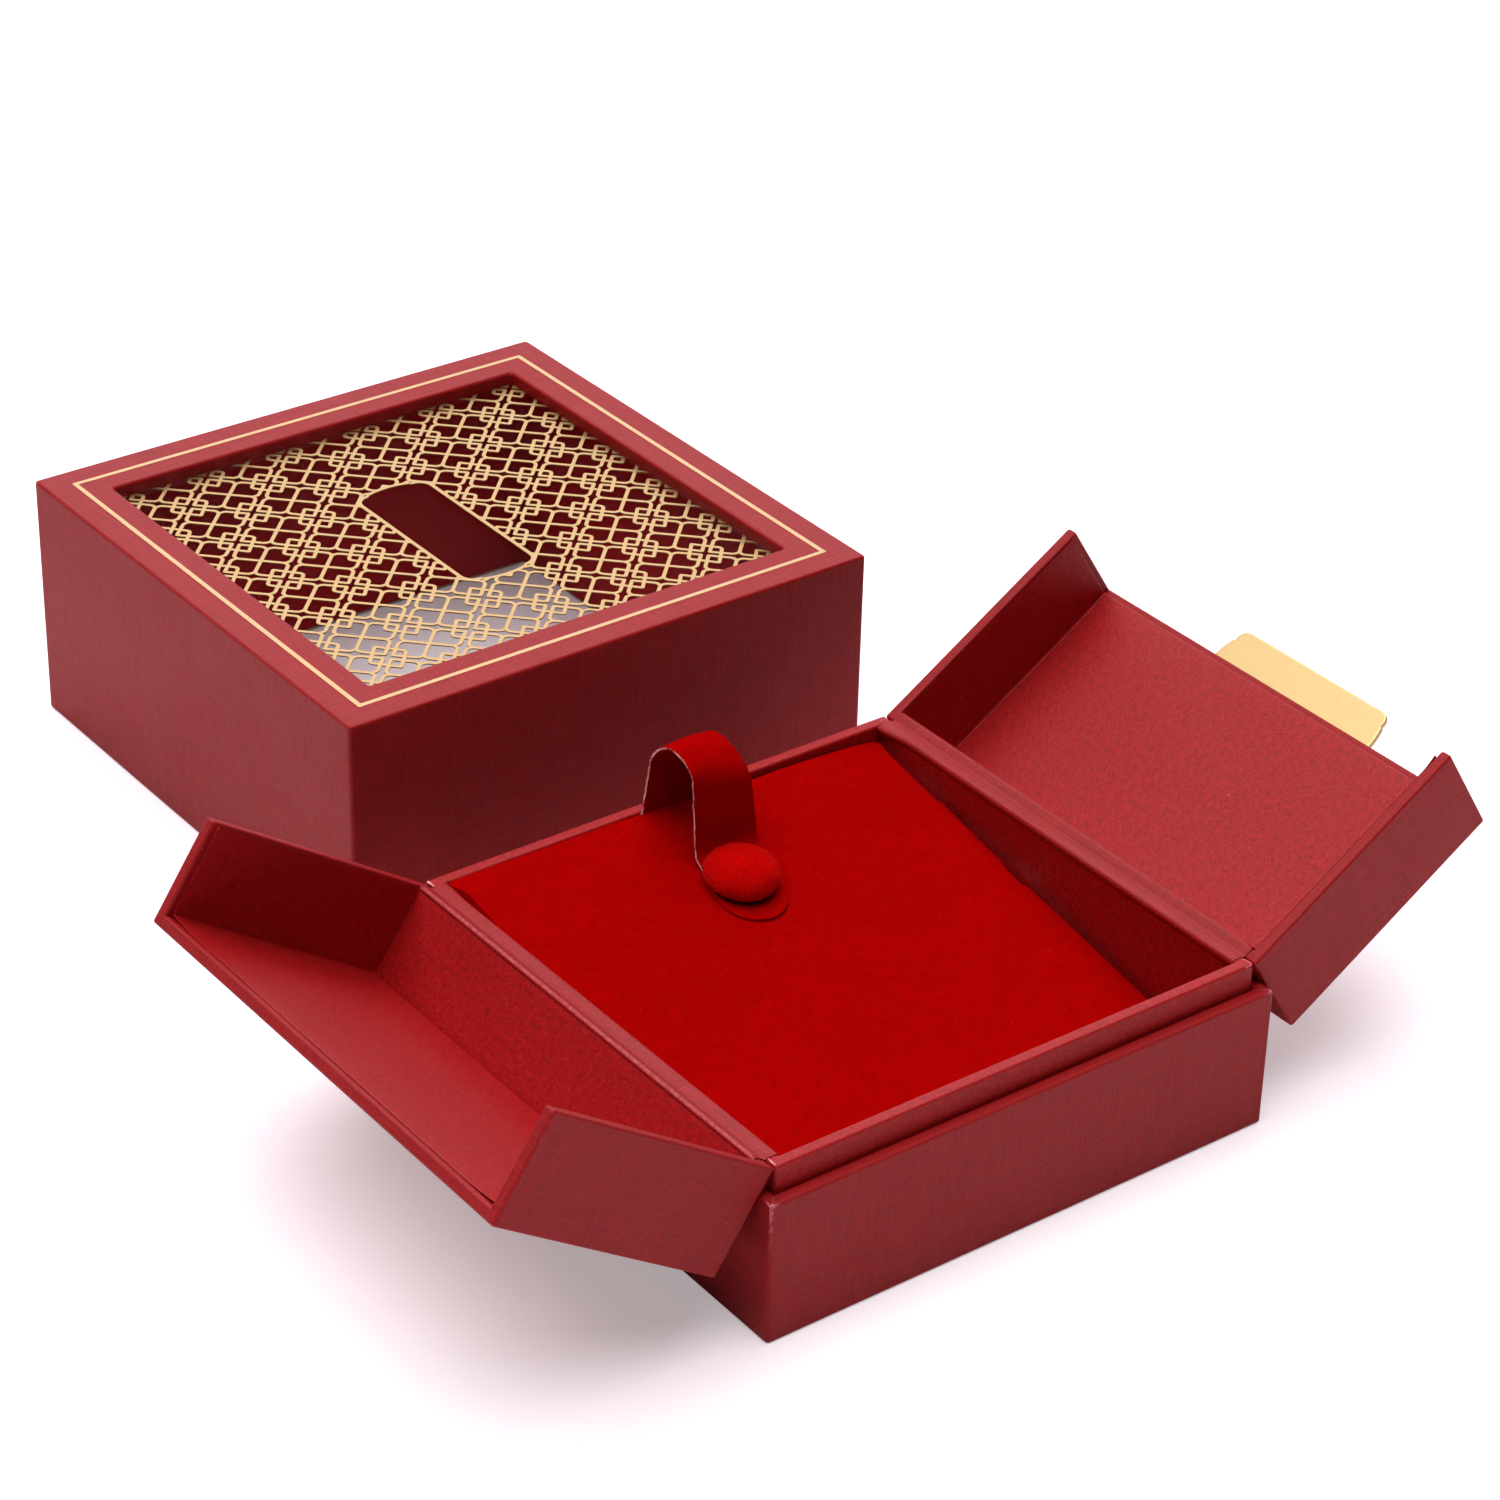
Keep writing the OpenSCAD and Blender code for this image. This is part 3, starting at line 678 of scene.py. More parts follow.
def door_lining(side):
    """The card and paper inside a door: panel and two ends folded in one sheet, the hinge wall as a strip of its own,
    standing back from the free edge.
    """
    s = 1 if side == "left" else -1
    t = 0.25
    u0, u1 = BU + t, DU - 1.2
    y1 = TI - t
    v0, v1 = DV0 + 0.5, PV - t
    nu, ny, nv = 26, 40, 8
    r = 0.5

    def f_axis(n, a, b):
        return [a + (b - a) * i / n for i in range(n + 1)]

    # one sheet over the section across y: end wall, fold, panel, fold, end wall
    sec = [(-y1, v, 0.0) for v in f_axis(nv, v0, v1 - r)]
    sec += [(-y1 + r - r * math.cos(a), v1 - r + r * math.sin(a), 0.0) for a in [math.pi / 2 * k / 4 for k in range(1, 5)]]
    sec += [(y, v1, 0.0) for y in f_axis(ny, -y1 + r, y1 - r)[1:-1]]
    sec += [(y1 - r + r * math.sin(a), v1 - r + r * math.cos(a), 0.0) for a in [math.pi / 2 * k / 4 for k in range(0, 5)]]
    sec += [(y1, v, 0.0) for v in f_axis(nv, v1 - r, v0)[1:]]
    us = [u0] + [u0 + 0.15] + f_axis(nu, u0 + 0.4, u1 - 3) + [u1 - 2, u1 - 1, u1 - 0.4, u1]
    verts, edge = [], []
    for u in us:
        g = max(0.0, (u - (u1 - 4)) / 4)
        for y, v, _ in sec:
            lift = 0.0
            corner = max(0.0, (abs(y) - 36) / 9)
            onp = v > v1 - 0.2
            ww = wob(u, y, 0, 9, 0.10, 3.3 * s)
            if onp:
                lift = (g ** 2) * (0.11 - 0.40 * corner ** 2 - 0.25 * abs(ww))
                verts.append((s * u, y, v + lift + wob(u, y, 2, 20, 0.05, 5.1)))
            else:
                sgn = -1 if y > 0 else 1
                low = max(0.0, 1 - (v - v0) / 5)
                lean = (g ** 2) * (0.08 + 0.35 * low ** 2) + abs(ww) * g
                verts.append((s * (u + 0.0), y + sgn * (lean if y < 0 else -0.06 * max(0.0, min(1.0, (u - (u1 - 9)) / 3))), v))
            edge.append(0.4 if u > u1 - 0.2 else 0.0)
    n = len(sec)
    faces = []
    for i in range(len(us) - 1):
        for j in range(n - 1):
            a, b, c, d = i * n + j, i * n + j + 1, (i + 1) * n + j + 1, (i + 1) * n + j
            faces.append((a, d, c, b) if s > 0 else (a, b, c, d))
    # bottom edges of the end flaps
    for i in range(len(us)):
        edge[i * n] = edge[i * n + n - 1] = 0.6
    ob = finish_mesh(side + "_door_lining", verts, faces, [M_IN], mat=door_mat(side), edge=edge, local=verts, angle=60)
    solidify(ob, 0.13, offset=-1)
    # the hinge wall's own strip of lining
    vs = f_axis(10, v0, v1 - 0.05)
    ys = f_axis(30, -y1 + 0.02, y1 - 0.02)
    hv, he = [], []
    for v in vs:
        for y in ys:
            hv.append((s * (u0 + wob(0, y, v, 14, 0.04, 8.0)), y, v))
            he.append(0.5 if v == vs[0] else 0.0)
    m = len(ys)
    hf = []
    for i in range(len(vs) - 1):
        for j in range(m - 1):
            a, b, c, d = i * m + j, i * m + j + 1, (i + 1) * m + j + 1, (i + 1) * m + j
            hf.append((a, b, c, d) if s > 0 else (a, d, c, b))
    ob2 = finish_mesh(side + "_hinge_wall_lining", hv, hf, [M_IN], mat=door_mat(side), edge=he, local=hv, angle=60)
    solidify(ob2, 0.2, offset=-1)
    keep(ob, side + "_door", "red_paper", side + "_liner")
    keep(ob2, side + "_door", "red_paper")
    return ob, ob2


def hinge_bands(side):
    """Paper that runs across the fold, inside and outside, as one piece each."""
    s = 1 if side == "left" else -1
    M = door_mat(side)
    p = 0.10

    def dl(u, v):
        q = M @ Vector((s * u, 0, v))
        return (q.x, q.z)

    X = -s  # the hinge side of the tray in x
    rim_in = X * (TC)
    inner = []
    inner += [(X * (TC - 0.02), TH - 1.05, 0.0), (X * (TC - p), TH - 0.8, 0.0), (X * (TC - p), TH - 0.55, 0.0)]
    for k in range(1, 5):
        a = math.radians(90 * k / 4)
        inner.append((X * (TC - p + (0.55 + p) * (1 - math.cos(a))), TH - 0.55 + (0.55 + p) * math.sin(a), 1.0 if k < 4 else 0.2))
    for q in (0.35, 0.7):
        inner.append((X * (TC + 0.55 + (HT - TC - 1.1) * q), TH + p - 0.03 * q, 0.0))
    inner.append((X * (HT - 0.28), TH + 0.04, 0.0))
    inner.append((X * (HT - 0.03), TH - 0.10, 0.0))
    inner.append((*dl(0.28, DV0 - 0.04), 0.0))
    inner.append((*dl(0.7, DV0 - p), 0.0))
    inner.append((*dl(1.15, DV0 - p), 0.0))
    # On the left door the fold's rounding gets edge weight 1.22, which paints a pale line along its whole length.
    for k in range(0, 5):
        a = math.radians(90 * k / 4)
        inner.append((*dl(BU + 0.25 + p - 0.6 + 0.6 * math.sin(a), DV0 - p + 0.6 - 0.6 * math.cos(a)), (1.22 if side == "left" else 1.0) if 0 < k < 4 else 0.2))
    if side == "left":
        inner.append((*dl(BU + 0.25 + 0.03, DV0 + 0.64), 0.2))
    else:
        inner.append((*dl(BU + 0.25 + p, DV0 + 0.9), 0.0))
        inner.append((*dl(BU + 0.25 + p, DV0 + 4.5), 0.3))
    # arc length along the section for the paper's own coordinates
    L = [0.0]
    for a, b in zip(inner, inner[1:]):
        L.append(L[-1] + math.hypot(b[0] - a[0], b[1] - a[1]))
    ny = 48
    y0, y1 = -TC + 0.15, TC - 0.15
    verts, edge, loc = [], [], []
    for i, (x, z, e) in enumerate(inner):
        for j in range(ny + 1):
            y = y0 + (y1 - y0) * j / ny
            amp = 0.035 if 5 < i < len(inner) - 6 else 0.012
            dz = wob(i * 3.0, y, 1, 5, amp, 2.2 * s)
            q = max(0.0, min(1.0, (y - 37.5) / 7.5))
            br = (0.90 if side == "right" else 0.45) * q * q * (3 - 2 * q) * max(0.0, min(1.0, (7 - i) / 4))
            verts.append((x - X * br, y, z + dz))
            edge.append(e)
            loc.append((L[i], y, 0.0))
    n = ny + 1
    faces = []
    for i in range(len(inner) - 1):
        for j in range(ny):
            a, b, c, d = i * n + j, i * n + j + 1, (i + 1) * n + j + 1, (i + 1) * n + j
            faces.append((a, b, c, d) if s < 0 else (a, d, c, b))
    ob = finish_mesh(side + "_hinge_paper_inner", verts, faces, [M_HINGE], edge=edge, local=loc, angle=60)
    solidify(ob, 0.09, offset=-1)
    crisp(ob)
    bpy.context.view_layer.objects.active = ob
    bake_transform(ob, "base", side + "_door", start=((X * (PX - 0.35)) * K, 0, PZ * K), end=((X * (PX + 0.20)) * K, 0, PZ * K))
    # outside: from the tray's outer face over the fold on to the door's hinge wall
    outer = [(X * (HT + p), TH - 7.0), (X * (HT + p), TH - 4.0), (X * (HT + p), TH - 1.2), (X * (HT + 0.13), TH - 0.55), (X * (HT + 0.12), TH - 0.36)]
    q = M.inverted() @ Vector((X * (HW - 0.14), 0, SH - 0.14))
    gap, vt = max(p, -s * q.x - 0.06), q.z
    outer += [dl(-0.13, DV0 + 0.25), dl(-p, DV0 + 0.9), dl(-(p + gap) / 2, vt - 1.6), dl(-gap, vt - 0.5), dl(-gap, vt + 0.5), dl(-(p + gap) / 2, vt + 1.6), dl(-p, vt + 3.0)]
    L = [0.0]
    for a, b in zip(outer, outer[1:]):
        L.append(L[-1] + math.hypot(b[0] - a[0], b[1] - a[1]))
    y0, y1 = -HT + 0.25, HT - 0.25
    verts, edge, loc = [], [], []
    for i, (x, z) in enumerate(outer):
        for j in range(ny + 1):
            y = y0 + (y1 - y0) * j / ny
            verts.append((x, y, z))
            edge.append(0.6 if i in (0, 4, 5, len(outer) - 1) else 0.0)
            loc.append((L[i], y, 0.0))
    faces = []
    for i in range(len(outer) - 1):
        for j in range(ny):
            a, b, c, d = i * n + j, i * n + j + 1, (i + 1) * n + j + 1, (i + 1) * n + j
            faces.append((a, d, c, b) if s < 0 else (a, b, c, d))
    ob2 = finish_mesh(side + "_hinge_paper_outer", verts, faces, [M_HINGE], edge=edge, local=loc, angle=60)
    solidify(ob2, 0.08, offset=-1)
    crisp(ob2)
    # the fold is followed by place along the sheet, so weights go by section and not by height
    a0 = Vector((X * (HT + p) * K, 0, (TH - 0.55) * K))
    q = dl(-p, DV0 + 0.6)
    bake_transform(ob2, "base", side + "_door", start=a0, end=Vector((q[0] * K, 0, q[1] * K)))
    at = ob2.data.attributes["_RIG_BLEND"]
    w = np.zeros(len(verts), np.float32)
    for i in range(len(outer)):
        w[i * n:(i + 1) * n] = 0.0 if i < 4 else (0.25 if i == 4 else (0.75 if i == 5 else 1.0))
    at.data.foreach_set("value", w)
    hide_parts(f"hinge_strip_{side}_tray", f"hinge_strip_{side}_door")
    return ob, ob2


for side in ("left", "right"):
    door_paper(side)
    door_lining(side)
    hinge_bands(side)


def raw_ribbon(name, pts, w, h, seed):
    """A thin lip of torn or cut paper that follows a few points: half-round section, tapering to both ends."""
    P = catmull(pts, 15)
    verts, faces = [], []
    m = 7
    for i, p in enumerate(P):
        d = P[min(i + 1, len(P) - 1)] - P[max(i - 1, 0)]
        d = d / np.linalg.norm(d)
        side_ = np.cross(d, (0, 0, 1))
        side_ = side_ / np.linalg.norm(side_)
        f = min(1.0, 3.0 * min(i, len(P) - 1 - i) / len(P) + 0.25)
        ww = w * f * (1 + 0.5 * noise.noise(Vector((i * 0.6, seed, 0))))
        hh = h * f * (1 + 0.4 * noise.noise(Vector((i * 0.8, 0, seed))))
        for k in range(m):
            a = math.pi * k / (m - 1)
            verts.append(tuple(p + side_ * (0.5 * ww * math.cos(a)) + np.array((0, 0, hh * math.sin(a)))))
    for i in range(len(P) - 1):
        for k in range(m):
            k2 = (k + 1) % m
            faces.append((i * m + k, i * m + k2, (i + 1) * m + k2, (i + 1) * m + k))
    faces.append(tuple(range(m - 1, -1, -1)))
    faces.append(tuple((len(P) - 1) * m + k for k in range(m)))
    me_ = finish_mesh(name, verts, faces, [M_LIP], tex=False, angle=50)
    bm = bmesh.new()
    bm.from_mesh(me_.data)
    bmesh.ops.recalc_face_normals(bm, faces=bm.faces)
    bm.to_mesh(me_.data)
    bm.free()
    return keep(me_, "base", "red_paper")


def catmull(pts, n):
    P = [np.array(p, float) for p in pts]
    P = [2 * P[0] - P[1]] + P + [2 * P[-1] - P[-2]]
    out = []
    for i in range(1, len(P) - 2):
        for k in range(12):
            t = k / 12
            out.append(0.5 * ((2 * P[i]) + (-P[i - 1] + P[i + 1]) * t + (2 * P[i - 1] - 5 * P[i] + 4 * P[i + 1] - P[i + 2]) * t * t
                              + (-P[i - 1] + 3 * P[i] - 3 * P[i + 1] + P[i + 2]) * t ** 3))
    out.append(P[-2])
    out = np.array(out)
    seg = np.r_[0, np.cumsum(np.linalg.norm(np.diff(out, axis=0), axis=1))]
    s = np.linspace(0, seg[-1], n)
    return np.c_[[np.interp(s, seg, out[:, a]) for a in range(3)]].T


z = TH - 0.03
raw_ribbon("cut_edge_front_right", [(HT - 0.50, -TC + 0.1, z), (HT - 0.35, -TC - 0.9, z), (HT - 0.32, -HT + 0.32, z - 0.04), (HT - 1.0, -HT + 0.12, z - 0.10), (HT - 1.7, -HT + 0.14, z - 0.12)], 0.42, 0.12, 1.0)
raw_ribbon("cut_edge_front_left", [(-HT + 0.42, -TC + 0.2, z), (-HT + 0.34, -TC - 1.0, z), (-HT + 0.34, -HT + 0.30, z - 0.05)], 0.36, 0.10, 5.0)
raw_ribbon("cut_edge_back_left", [(-HT + 0.45, TC - 0.3, z), (-HT + 0.22, TC + 0.6, z + 0.22), (-HT + 0.20, HT - 0.9, z + 0.20), (-HT + 0.50, HT - 0.25, z)], 0.40, 0.14, 8.0)
raw_ribbon("cut_edge_back_right", [(HT - 1.8, TC + 1.0, z), (HT - 0.9, TC + 1.1, z + 0.02), (HT - 0.15, TC + 1.0, z - 0.05)], 0.34, 0.12, 3.0)


# ------------------------------------------------------------------ pad
SNAP = PAD_MAT.inverted() @ Vector((B("snap_stud")[0] + B("snap_stud")[1]) / 2)
BTN_X, BTN_S = SNAP.x, SNAP.y
BTN_Y = PADY + BTN_S * math.cos(SLOPE)
BTN_R = (B("button_cap")[1][0] - B("button_cap")[0][0]) / 2


def crown(x, y):
    """Crown of the velvet over the plain slope, in mm: measured along the back edge, fading to the front, pressed in round the snap."""
    xs = [-45, -14, -5, 8, 17, 27, 38, 44.6]
    hs = [2.60, 2.55, 2.25, 1.45, 1.00, 0.90, 0.32, -0.40]
    f = np.clip((y + 16) / 58, 0, 1)
    f = f * f * (3 - 2 * f)
    c = np.interp(x, xs, hs) * f
    return c * (1 - 0.88 * np.exp(-(((x - BTN_X) ** 2 + (y - BTN_Y + 1.5) ** 2) / 10.5 ** 2)))


def make_pad():
    """Velvet over foam over board: a slab that starts small, is blown up as cloth, then brought to the measured seat and crown."""
    hx = B("pad_velvet")[1][0] - 0.05
    L = (PADY + TC - 0.5) / math.cos(SLOPE) - 0.15
    t = 5.4
    me = bpy.data.meshes.new("pad_start")
    bm = bmesh.new()
    bmesh.ops.create_cube(bm, size=1.0)
    for vv in bm.verts:
        vv.co = Vector((vv.co.x * (2 * hx - 1.4), vv.co.y * (L - 1.4) - L / 2, vv.co.z * (t - 1.0) - t / 2 - 0.1))
    bm.to_mesh(me)
    bm.free()
    ob = link("pad_work", me)
    me.transform(Matrix.Scale(K, 4))
    bpy.context.view_layer.objects.active = ob
    rm = ob.modifiers.new("r", "REMESH")
    rm.mode = "VOXEL"
    rm.voxel_size = 0.0022
    dg = bpy.context.evaluated_depsgraph_get()
    me2 = bpy.data.meshes.new_from_object(ob.evaluated_get(dg))
    ob.modifiers.clear()
    ob.data = me2
    start = np.array([vv.co for vv in me2.vertices])
    cl = ob.modifiers.new("cloth", "CLOTH")
    st = cl.settings
    st.quality = 5
    st.mass = 0.15
    st.tension_stiffness = 20
    st.compression_stiffness = 20
    st.bending_stiffness = 0.6
    st.use_pressure = True
    st.uniform_pressure_force = 4.0
    st.effector_weights.gravity = 0.0
    sc = bpy.context.scene
    sc.frame_start, sc.frame_end = 1, 20
    cl.point_cache.frame_start, cl.point_cache.frame_end = 1, 20
    for fr in range(1, 21):
        sc.frame_set(fr)
    dg = bpy.context.evaluated_depsgraph_get()
    me3 = bpy.data.meshes.new_from_object(ob.evaluated_get(dg))
    ob.modifiers.clear()
    ob.data = me3
    sc.frame_set(1)
    co = np.array([vv.co for vv in me3.vertices])
    d = co - start
    ln = np.linalg.norm(d, axis=1)
    cap = 0.0010
    co = start + d * np.where(ln > cap, cap / np.maximum(ln, 1e-9), 1.0)[:, None]
    ob.data.vertices.foreach_set("co", co.astype(np.float32).ravel())
    ob.data.update()
    sb = ob.modifiers.new("s", "SUBSURF")
    sb.levels = sb.render_levels = 1
    dg = bpy.context.evaluated_depsgraph_get()
    me4 = bpy.data.meshes.new_from_object(ob.evaluated_get(dg))
    bpy.data.objects.remove(ob)
    co = np.array([vv.co for vv in me4.vertices]) / K
    # bring the sides to the tray, keeping the blown-up shape between
    x, y, z = co[:, 0].copy(), co[:, 1].copy(), co[:, 2].copy()
    x *= hx / np.abs(x).max()
    yb = (TC - 0.15 - PADY) / math.cos(SLOPE)
    y = (y - y.min()) / (y.max() - y.min()) * (L + yb) - L
    tb_ = yb - y
    y = yb - np.where(tb_ < 1.2, tb_ * 0.25, np.where(tb_ < 5.0, 0.30 + (tb_ - 1.2) * 4.70 / 3.8, tb_))
    for sg, amount in ((-1, 0.97), (1, 0.80)):
        a = np.clip((sg * x - (hx - 5.0)) / 5.0, 0, 1)
        b = np.clip((y - (yb - 5.0)) / 5.0, 0, 1)
        r_ = np.hypot(a, b)
        f_ = 1 + amount * np.where(r_ > 1e-6, r_ / np.maximum(np.maximum(a, b), 1e-6) - 1, 0) * np.clip(r_, 0, 1)
        on = (a > 0) & (b > 0)
        x = np.where(on, sg * np.minimum(hx, hx - 5.0 + 5.0 * a * f_), x)
        y = np.where(on, np.minimum(yb, yb - 5.0 + 5.0 * b * f_), y)
    zt, zb = np.percentile(z, 97), z.min()
    z = np.where(z > (zt + zb) / 2, z - zt + 0.05, (z - zb) - t)
    k = np.clip((z + 3.2) / 3.2, 0, 1)
    # square the shoulders: the cloth is drawn tight over the board's edges
    es = np.clip((np.abs(x) - (hx - 3.0)) / 3.0, 0, 1)
    ef = np.clip((-L - y + 3.0) / 3.0, 0, 1)
    eb = np.clip((y - yb + 1.6) / 1.6, 0, 1)
    side_drop = 1.15 - 0.48 * np.clip((y - (yb - 16.0)) / 11.0, 0, 1) * (x < 0)
    shoulder = -side_drop * (1 - np.sqrt(np.clip(1 - np.maximum(es, ef) ** 4, 0, 1))) - np.where(x < -9, 0.18, 0.45) * (1 - np.sqrt(np.clip(1 - eb ** 4, 0, 1)))
    top = k > 0.42
    z = np.where(top, np.maximum(z, shoulder - 0.02), z)
    k = np.where(top, 1.0, k / 0.42)
    yw = PADY + y * math.cos(SLOPE)
    nz = np.array([wob(a, b, 0, 17, 0.16, 1.0) + wob(a, b, 5, 5.5, 0.045, 4.0) for a, b in zip(x, y)])
    fold = 0.30 * np.exp(-(((x - 24.0) / 3.0) ** 2 + ((y - 0.4) / 0.8) ** 2)) - 0.24 * np.exp(-(((x - 23.0) / 3.4) ** 2 + ((y + 1.2) / 0.8) ** 2))
    z = z + (crown(x, yw) + nz + fold) * k
    co = np.c_[x, y, z]
    co[:, 2] = np.maximum(co[:, 2], -t)
    me4.vertices.foreach_set("co", co.astype(np.float32).ravel())
    me4.update()
    me4.transform(Matrix.Scale(K, 4) @ PAD_MAT)
    w = np.array([vv.co for vv in me4.vertices]) / K
    w[:, 0] = np.clip(w[:, 0], -TC + 0.12, TC - 0.12)
    w[:, 1] = np.clip(w[:, 1], -TC + 0.12, TC - 0.10)
    w[:, 2] = np.minimum(w[:, 2], TH + 0.5)
    me4.vertices.foreach_set("co", (w * K).astype(np.float32).ravel())
    me4.update()
    set_edge(me4, np.zeros(len(me4.vertices)))
    pad = link("pad_cushion", me4)
    # the opening for the snap socket
    c = PAD_MAT @ Vector((BTN_X, BTN_S, 0))
    bm = bmesh.new()
    bmesh.ops.create_cone(bm, cap_ends=True, segments=48, radius1=4.58, radius2=4.58, depth=8.0)
    cm = bpy.data.meshes.new("cut")
    bm.to_mesh(cm)
    bm.free()
    cut = link("cut", cm)
    cm.transform(Matrix.Scale(K, 4) @ Matrix.Translation(c) @ Matrix.Rotation(SLOPE, 4, "X") @ Matrix.Translation((0, 0, 1.0)))
    bo = pad.modifiers.new("hole", "BOOLEAN")
    bo.operation = "DIFFERENCE"
    bo.solver = "EXACT"
    bo.object = cut
    dg = bpy.context.evaluated_depsgraph_get()
    me5 = bpy.data.meshes.new_from_object(pad.evaluated_get(dg))
    pad.modifiers.clear()
    pad.data = me5
    bpy.data.objects.remove(cut)
    me5.materials.clear()
    me5.materials.append(M_VELVET)
    me5.polygons.foreach_set("material_index", [0] * len(me5.polygons))
    smooth(me5, 55)
    me5.name = "pad_cushion"
    return pad


pad = make_pad()
keep(pad, "base", "velvet", "pad_velvet")


# ------------------------------------------------------------------ strap: two measured edges, lofted
TAB_C = (-0.75, 20.75)
TAB_R = 5.84


def pad_plane(y):
    return PADZ + (y - PADY) * math.tan(SLOPE)


def make_strap():
    n = 96
    cy = 22.2

    def low(y, up):
        return pad_plane(y) + up

    left = [(-6.9, 44.2, 22.5), (-6.75, 44.35, 27.0), (-6.3, 44.4, 30.7), (-5.65, 44.4, 34.1), (-5.25, 44.3, 37.0), (-5.0, 44.1, 39.6), (-4.95, 43.4, 41.6),
            (-4.95, 42.3, 42.9), (-4.95, 41.0, 43.95), (-4.95, 39.5, 44.75), (-4.95, 38.0, 45.2), (-4.95, 36.8, 45.1), (-4.95, 35.5, 44.8), (-4.95, 34.1, 44.3), (-4.95, 32.7, 43.3), (-4.95, 32.05, 41.6),
            (-4.95, 31.85, 37.5), (-4.95, 31.5, 33.0), (-4.95, 31.2, 29.7), (-5.0, 30.5, 27.9), (-5.1, 29.2, 27.0), (-5.6, 27.2, low(27.2, 1.35)), (-6.2, 25.0, low(25.0, 1.15)), (-6.55, cy, low(cy, 1.1))]
    right = [(6.7, 44.2, 22.5), (6.7, 44.3, 27.0), (6.7, 44.35, 31.5), (6.55, 44.4, 35.5), (6.4, 44.35, 39.0), (6.25, 44.1, 41.2), (6.15, 43.1, 42.6),
             (6.2, 41.3, 43.3), (6.3, 39.0, 43.35), (6.45, 36.9, 42.75), (6.65, 35.0, 41.65), (6.85, 33.5, 40.4), (7.05, 32.5, 38.8), (7.25, 32.0, 35.6),
             (7.35, 31.4, 32.2), (7.4, 31.0, 29.4), (7.3, 30.3, 27.7), (6.9, 28.9, low(28.9, 1.5)), (6.0, 26.6, low(26.6, 1.25)), (5.3, 24.6, low(24.6, 1.15)), (5.05, cy, low(cy, 1.1))]
    Lc, Rc = catmull(left, n), catmull(right, n)
    m = 14
    verts, edge = [], []
    fringe = []
    for i in range(n):
        a, b = Lc[i], Rc[i]
        for j in range(m + 1):
            f = j / m
            p = a * (1 - f) + b * f
            # slight cupping and unevenness
            tdir = (Lc[min(i + 1, n - 1)] - Lc[max(i - 1, 0)]) + (Rc[min(i + 1, n - 1)] - Rc[max(i - 1, 0)])
            across = b - a
            nn = np.cross(tdir, across)
            nn = nn / np.linalg.norm(nn)
            g = math.sin(math.pi * f)
            arch = max(0.0, min(1.0, i / 12)) * max(0.0, min(1.0, (n * 0.80 - i) / 8))
            p = p + nn * (0.30 * g * arch + wob(p[0], p[1], p[2], 6, 0.10, 2.0) * arch)
            if j in (0, m):
                # raw cut, a little uneven
                out = (a - b) if j == 0 else (b - a)
                out = out / np.linalg.norm(out)
                jag = 1.0 + 2.2 * math.exp(-((i - 0.43 * n) / 13.0) ** 2)
                p = p + out * jag * (0.13 * noise.noise(Vector((i * 0.55, j, 0.3))) + 0.09 * noise.noise(Vector((i * 1.7, j, 7.7))))
            verts.append(tuple(p))
            edge.append(1.0 if j in (0, m) else 0.0)
    faces = []
    w = m + 1
    for i in range(n - 1):
        for j in range(m):
            a, b, c, d = i * w + j, i * w + j + 1, (i + 1) * w + j + 1, (i + 1) * w + j
            faces.append((a, b, c, d))
    # round tab: fan of rings continuing the last row
    last = (n - 1) * w
    rowl = [np.array(verts[last + j]) for j in range(w)]
    prev = [last + j for j in range(w)]
    steps = 12
    for k in range(1, steps + 1):
        th = math.radians(90 * k / steps)
        row = []
        for j in range(w):
            f = j / m * 2 - 1
            hw_ = (TAB_R * math.sqrt(max(0.0, 1 - ((cy - (cy - TAB_C[1] + TAB_R) * math.sin(th) - TAB_C[1]) / TAB_R) ** 2))) if k < steps else 0.0
            y = cy - (cy - TAB_C[1] + TAB_R) * math.sin(th)
            x = TAB_C[0] + f * max(hw_, 0.8)
            row.append(len(verts))
            dip = -0.10 * math.sin(th)
            verts.append((x, y, low(y, 1.1 + dip) + wob(x, y, 0, 4, 0.06, 6.0)))
            edge.append(1.0 if j in (0, m) or k == steps else 0.0)
        for j in range(m):
            faces.append((prev[j], prev[j + 1], row[j + 1], row[j]))
        prev = row
    ob = finish_mesh("velvet_strap", verts, faces, [M_VELVET, M_RAW, M_VELVET_B], edge=edge, tex=False, angle=None)
    sol = solidify(ob, 0.42, offset=0)
    sol.material_offset_rim = 1
    dg = bpy.context.evaluated_depsgraph_get()
    me = bpy.data.meshes.new_from_object(ob.evaluated_get(dg))
    ob.modifiers.clear()
    ob.data = me
    # round the pile side a little; the rim stays a thin pale line
    bm = bmesh.new()
    bm.from_mesh(me)
    bmesh.ops.recalc_face_normals(bm, faces=bm.faces)
    bm.to_mesh(me)
    bm.free()
    bv = ob.modifiers.new("b", "BEVEL")
    bv.width = 0.00014
    bv.segments = 2
    bv.limit_method = "ANGLE"
    bv.angle_limit = math.radians(50)
    bv.material = 0
    dg = bpy.context.evaluated_depsgraph_get()
    me = bpy.data.meshes.new_from_object(ob.evaluated_get(dg))
    ob.modifiers.clear()
    ob.data = me
    # the pale cut shows up to the foot; round the tab only the pile's own rim is seen
    for p in me.polygons:
        if p.material_index == 1 and p.center.y < 0.0262 and p.center.z < 0.032:
            p.material_index = 2
    smooth(me, 70)
    return ob, Lc, Rc


strap, Lc, Rc = make_strap()


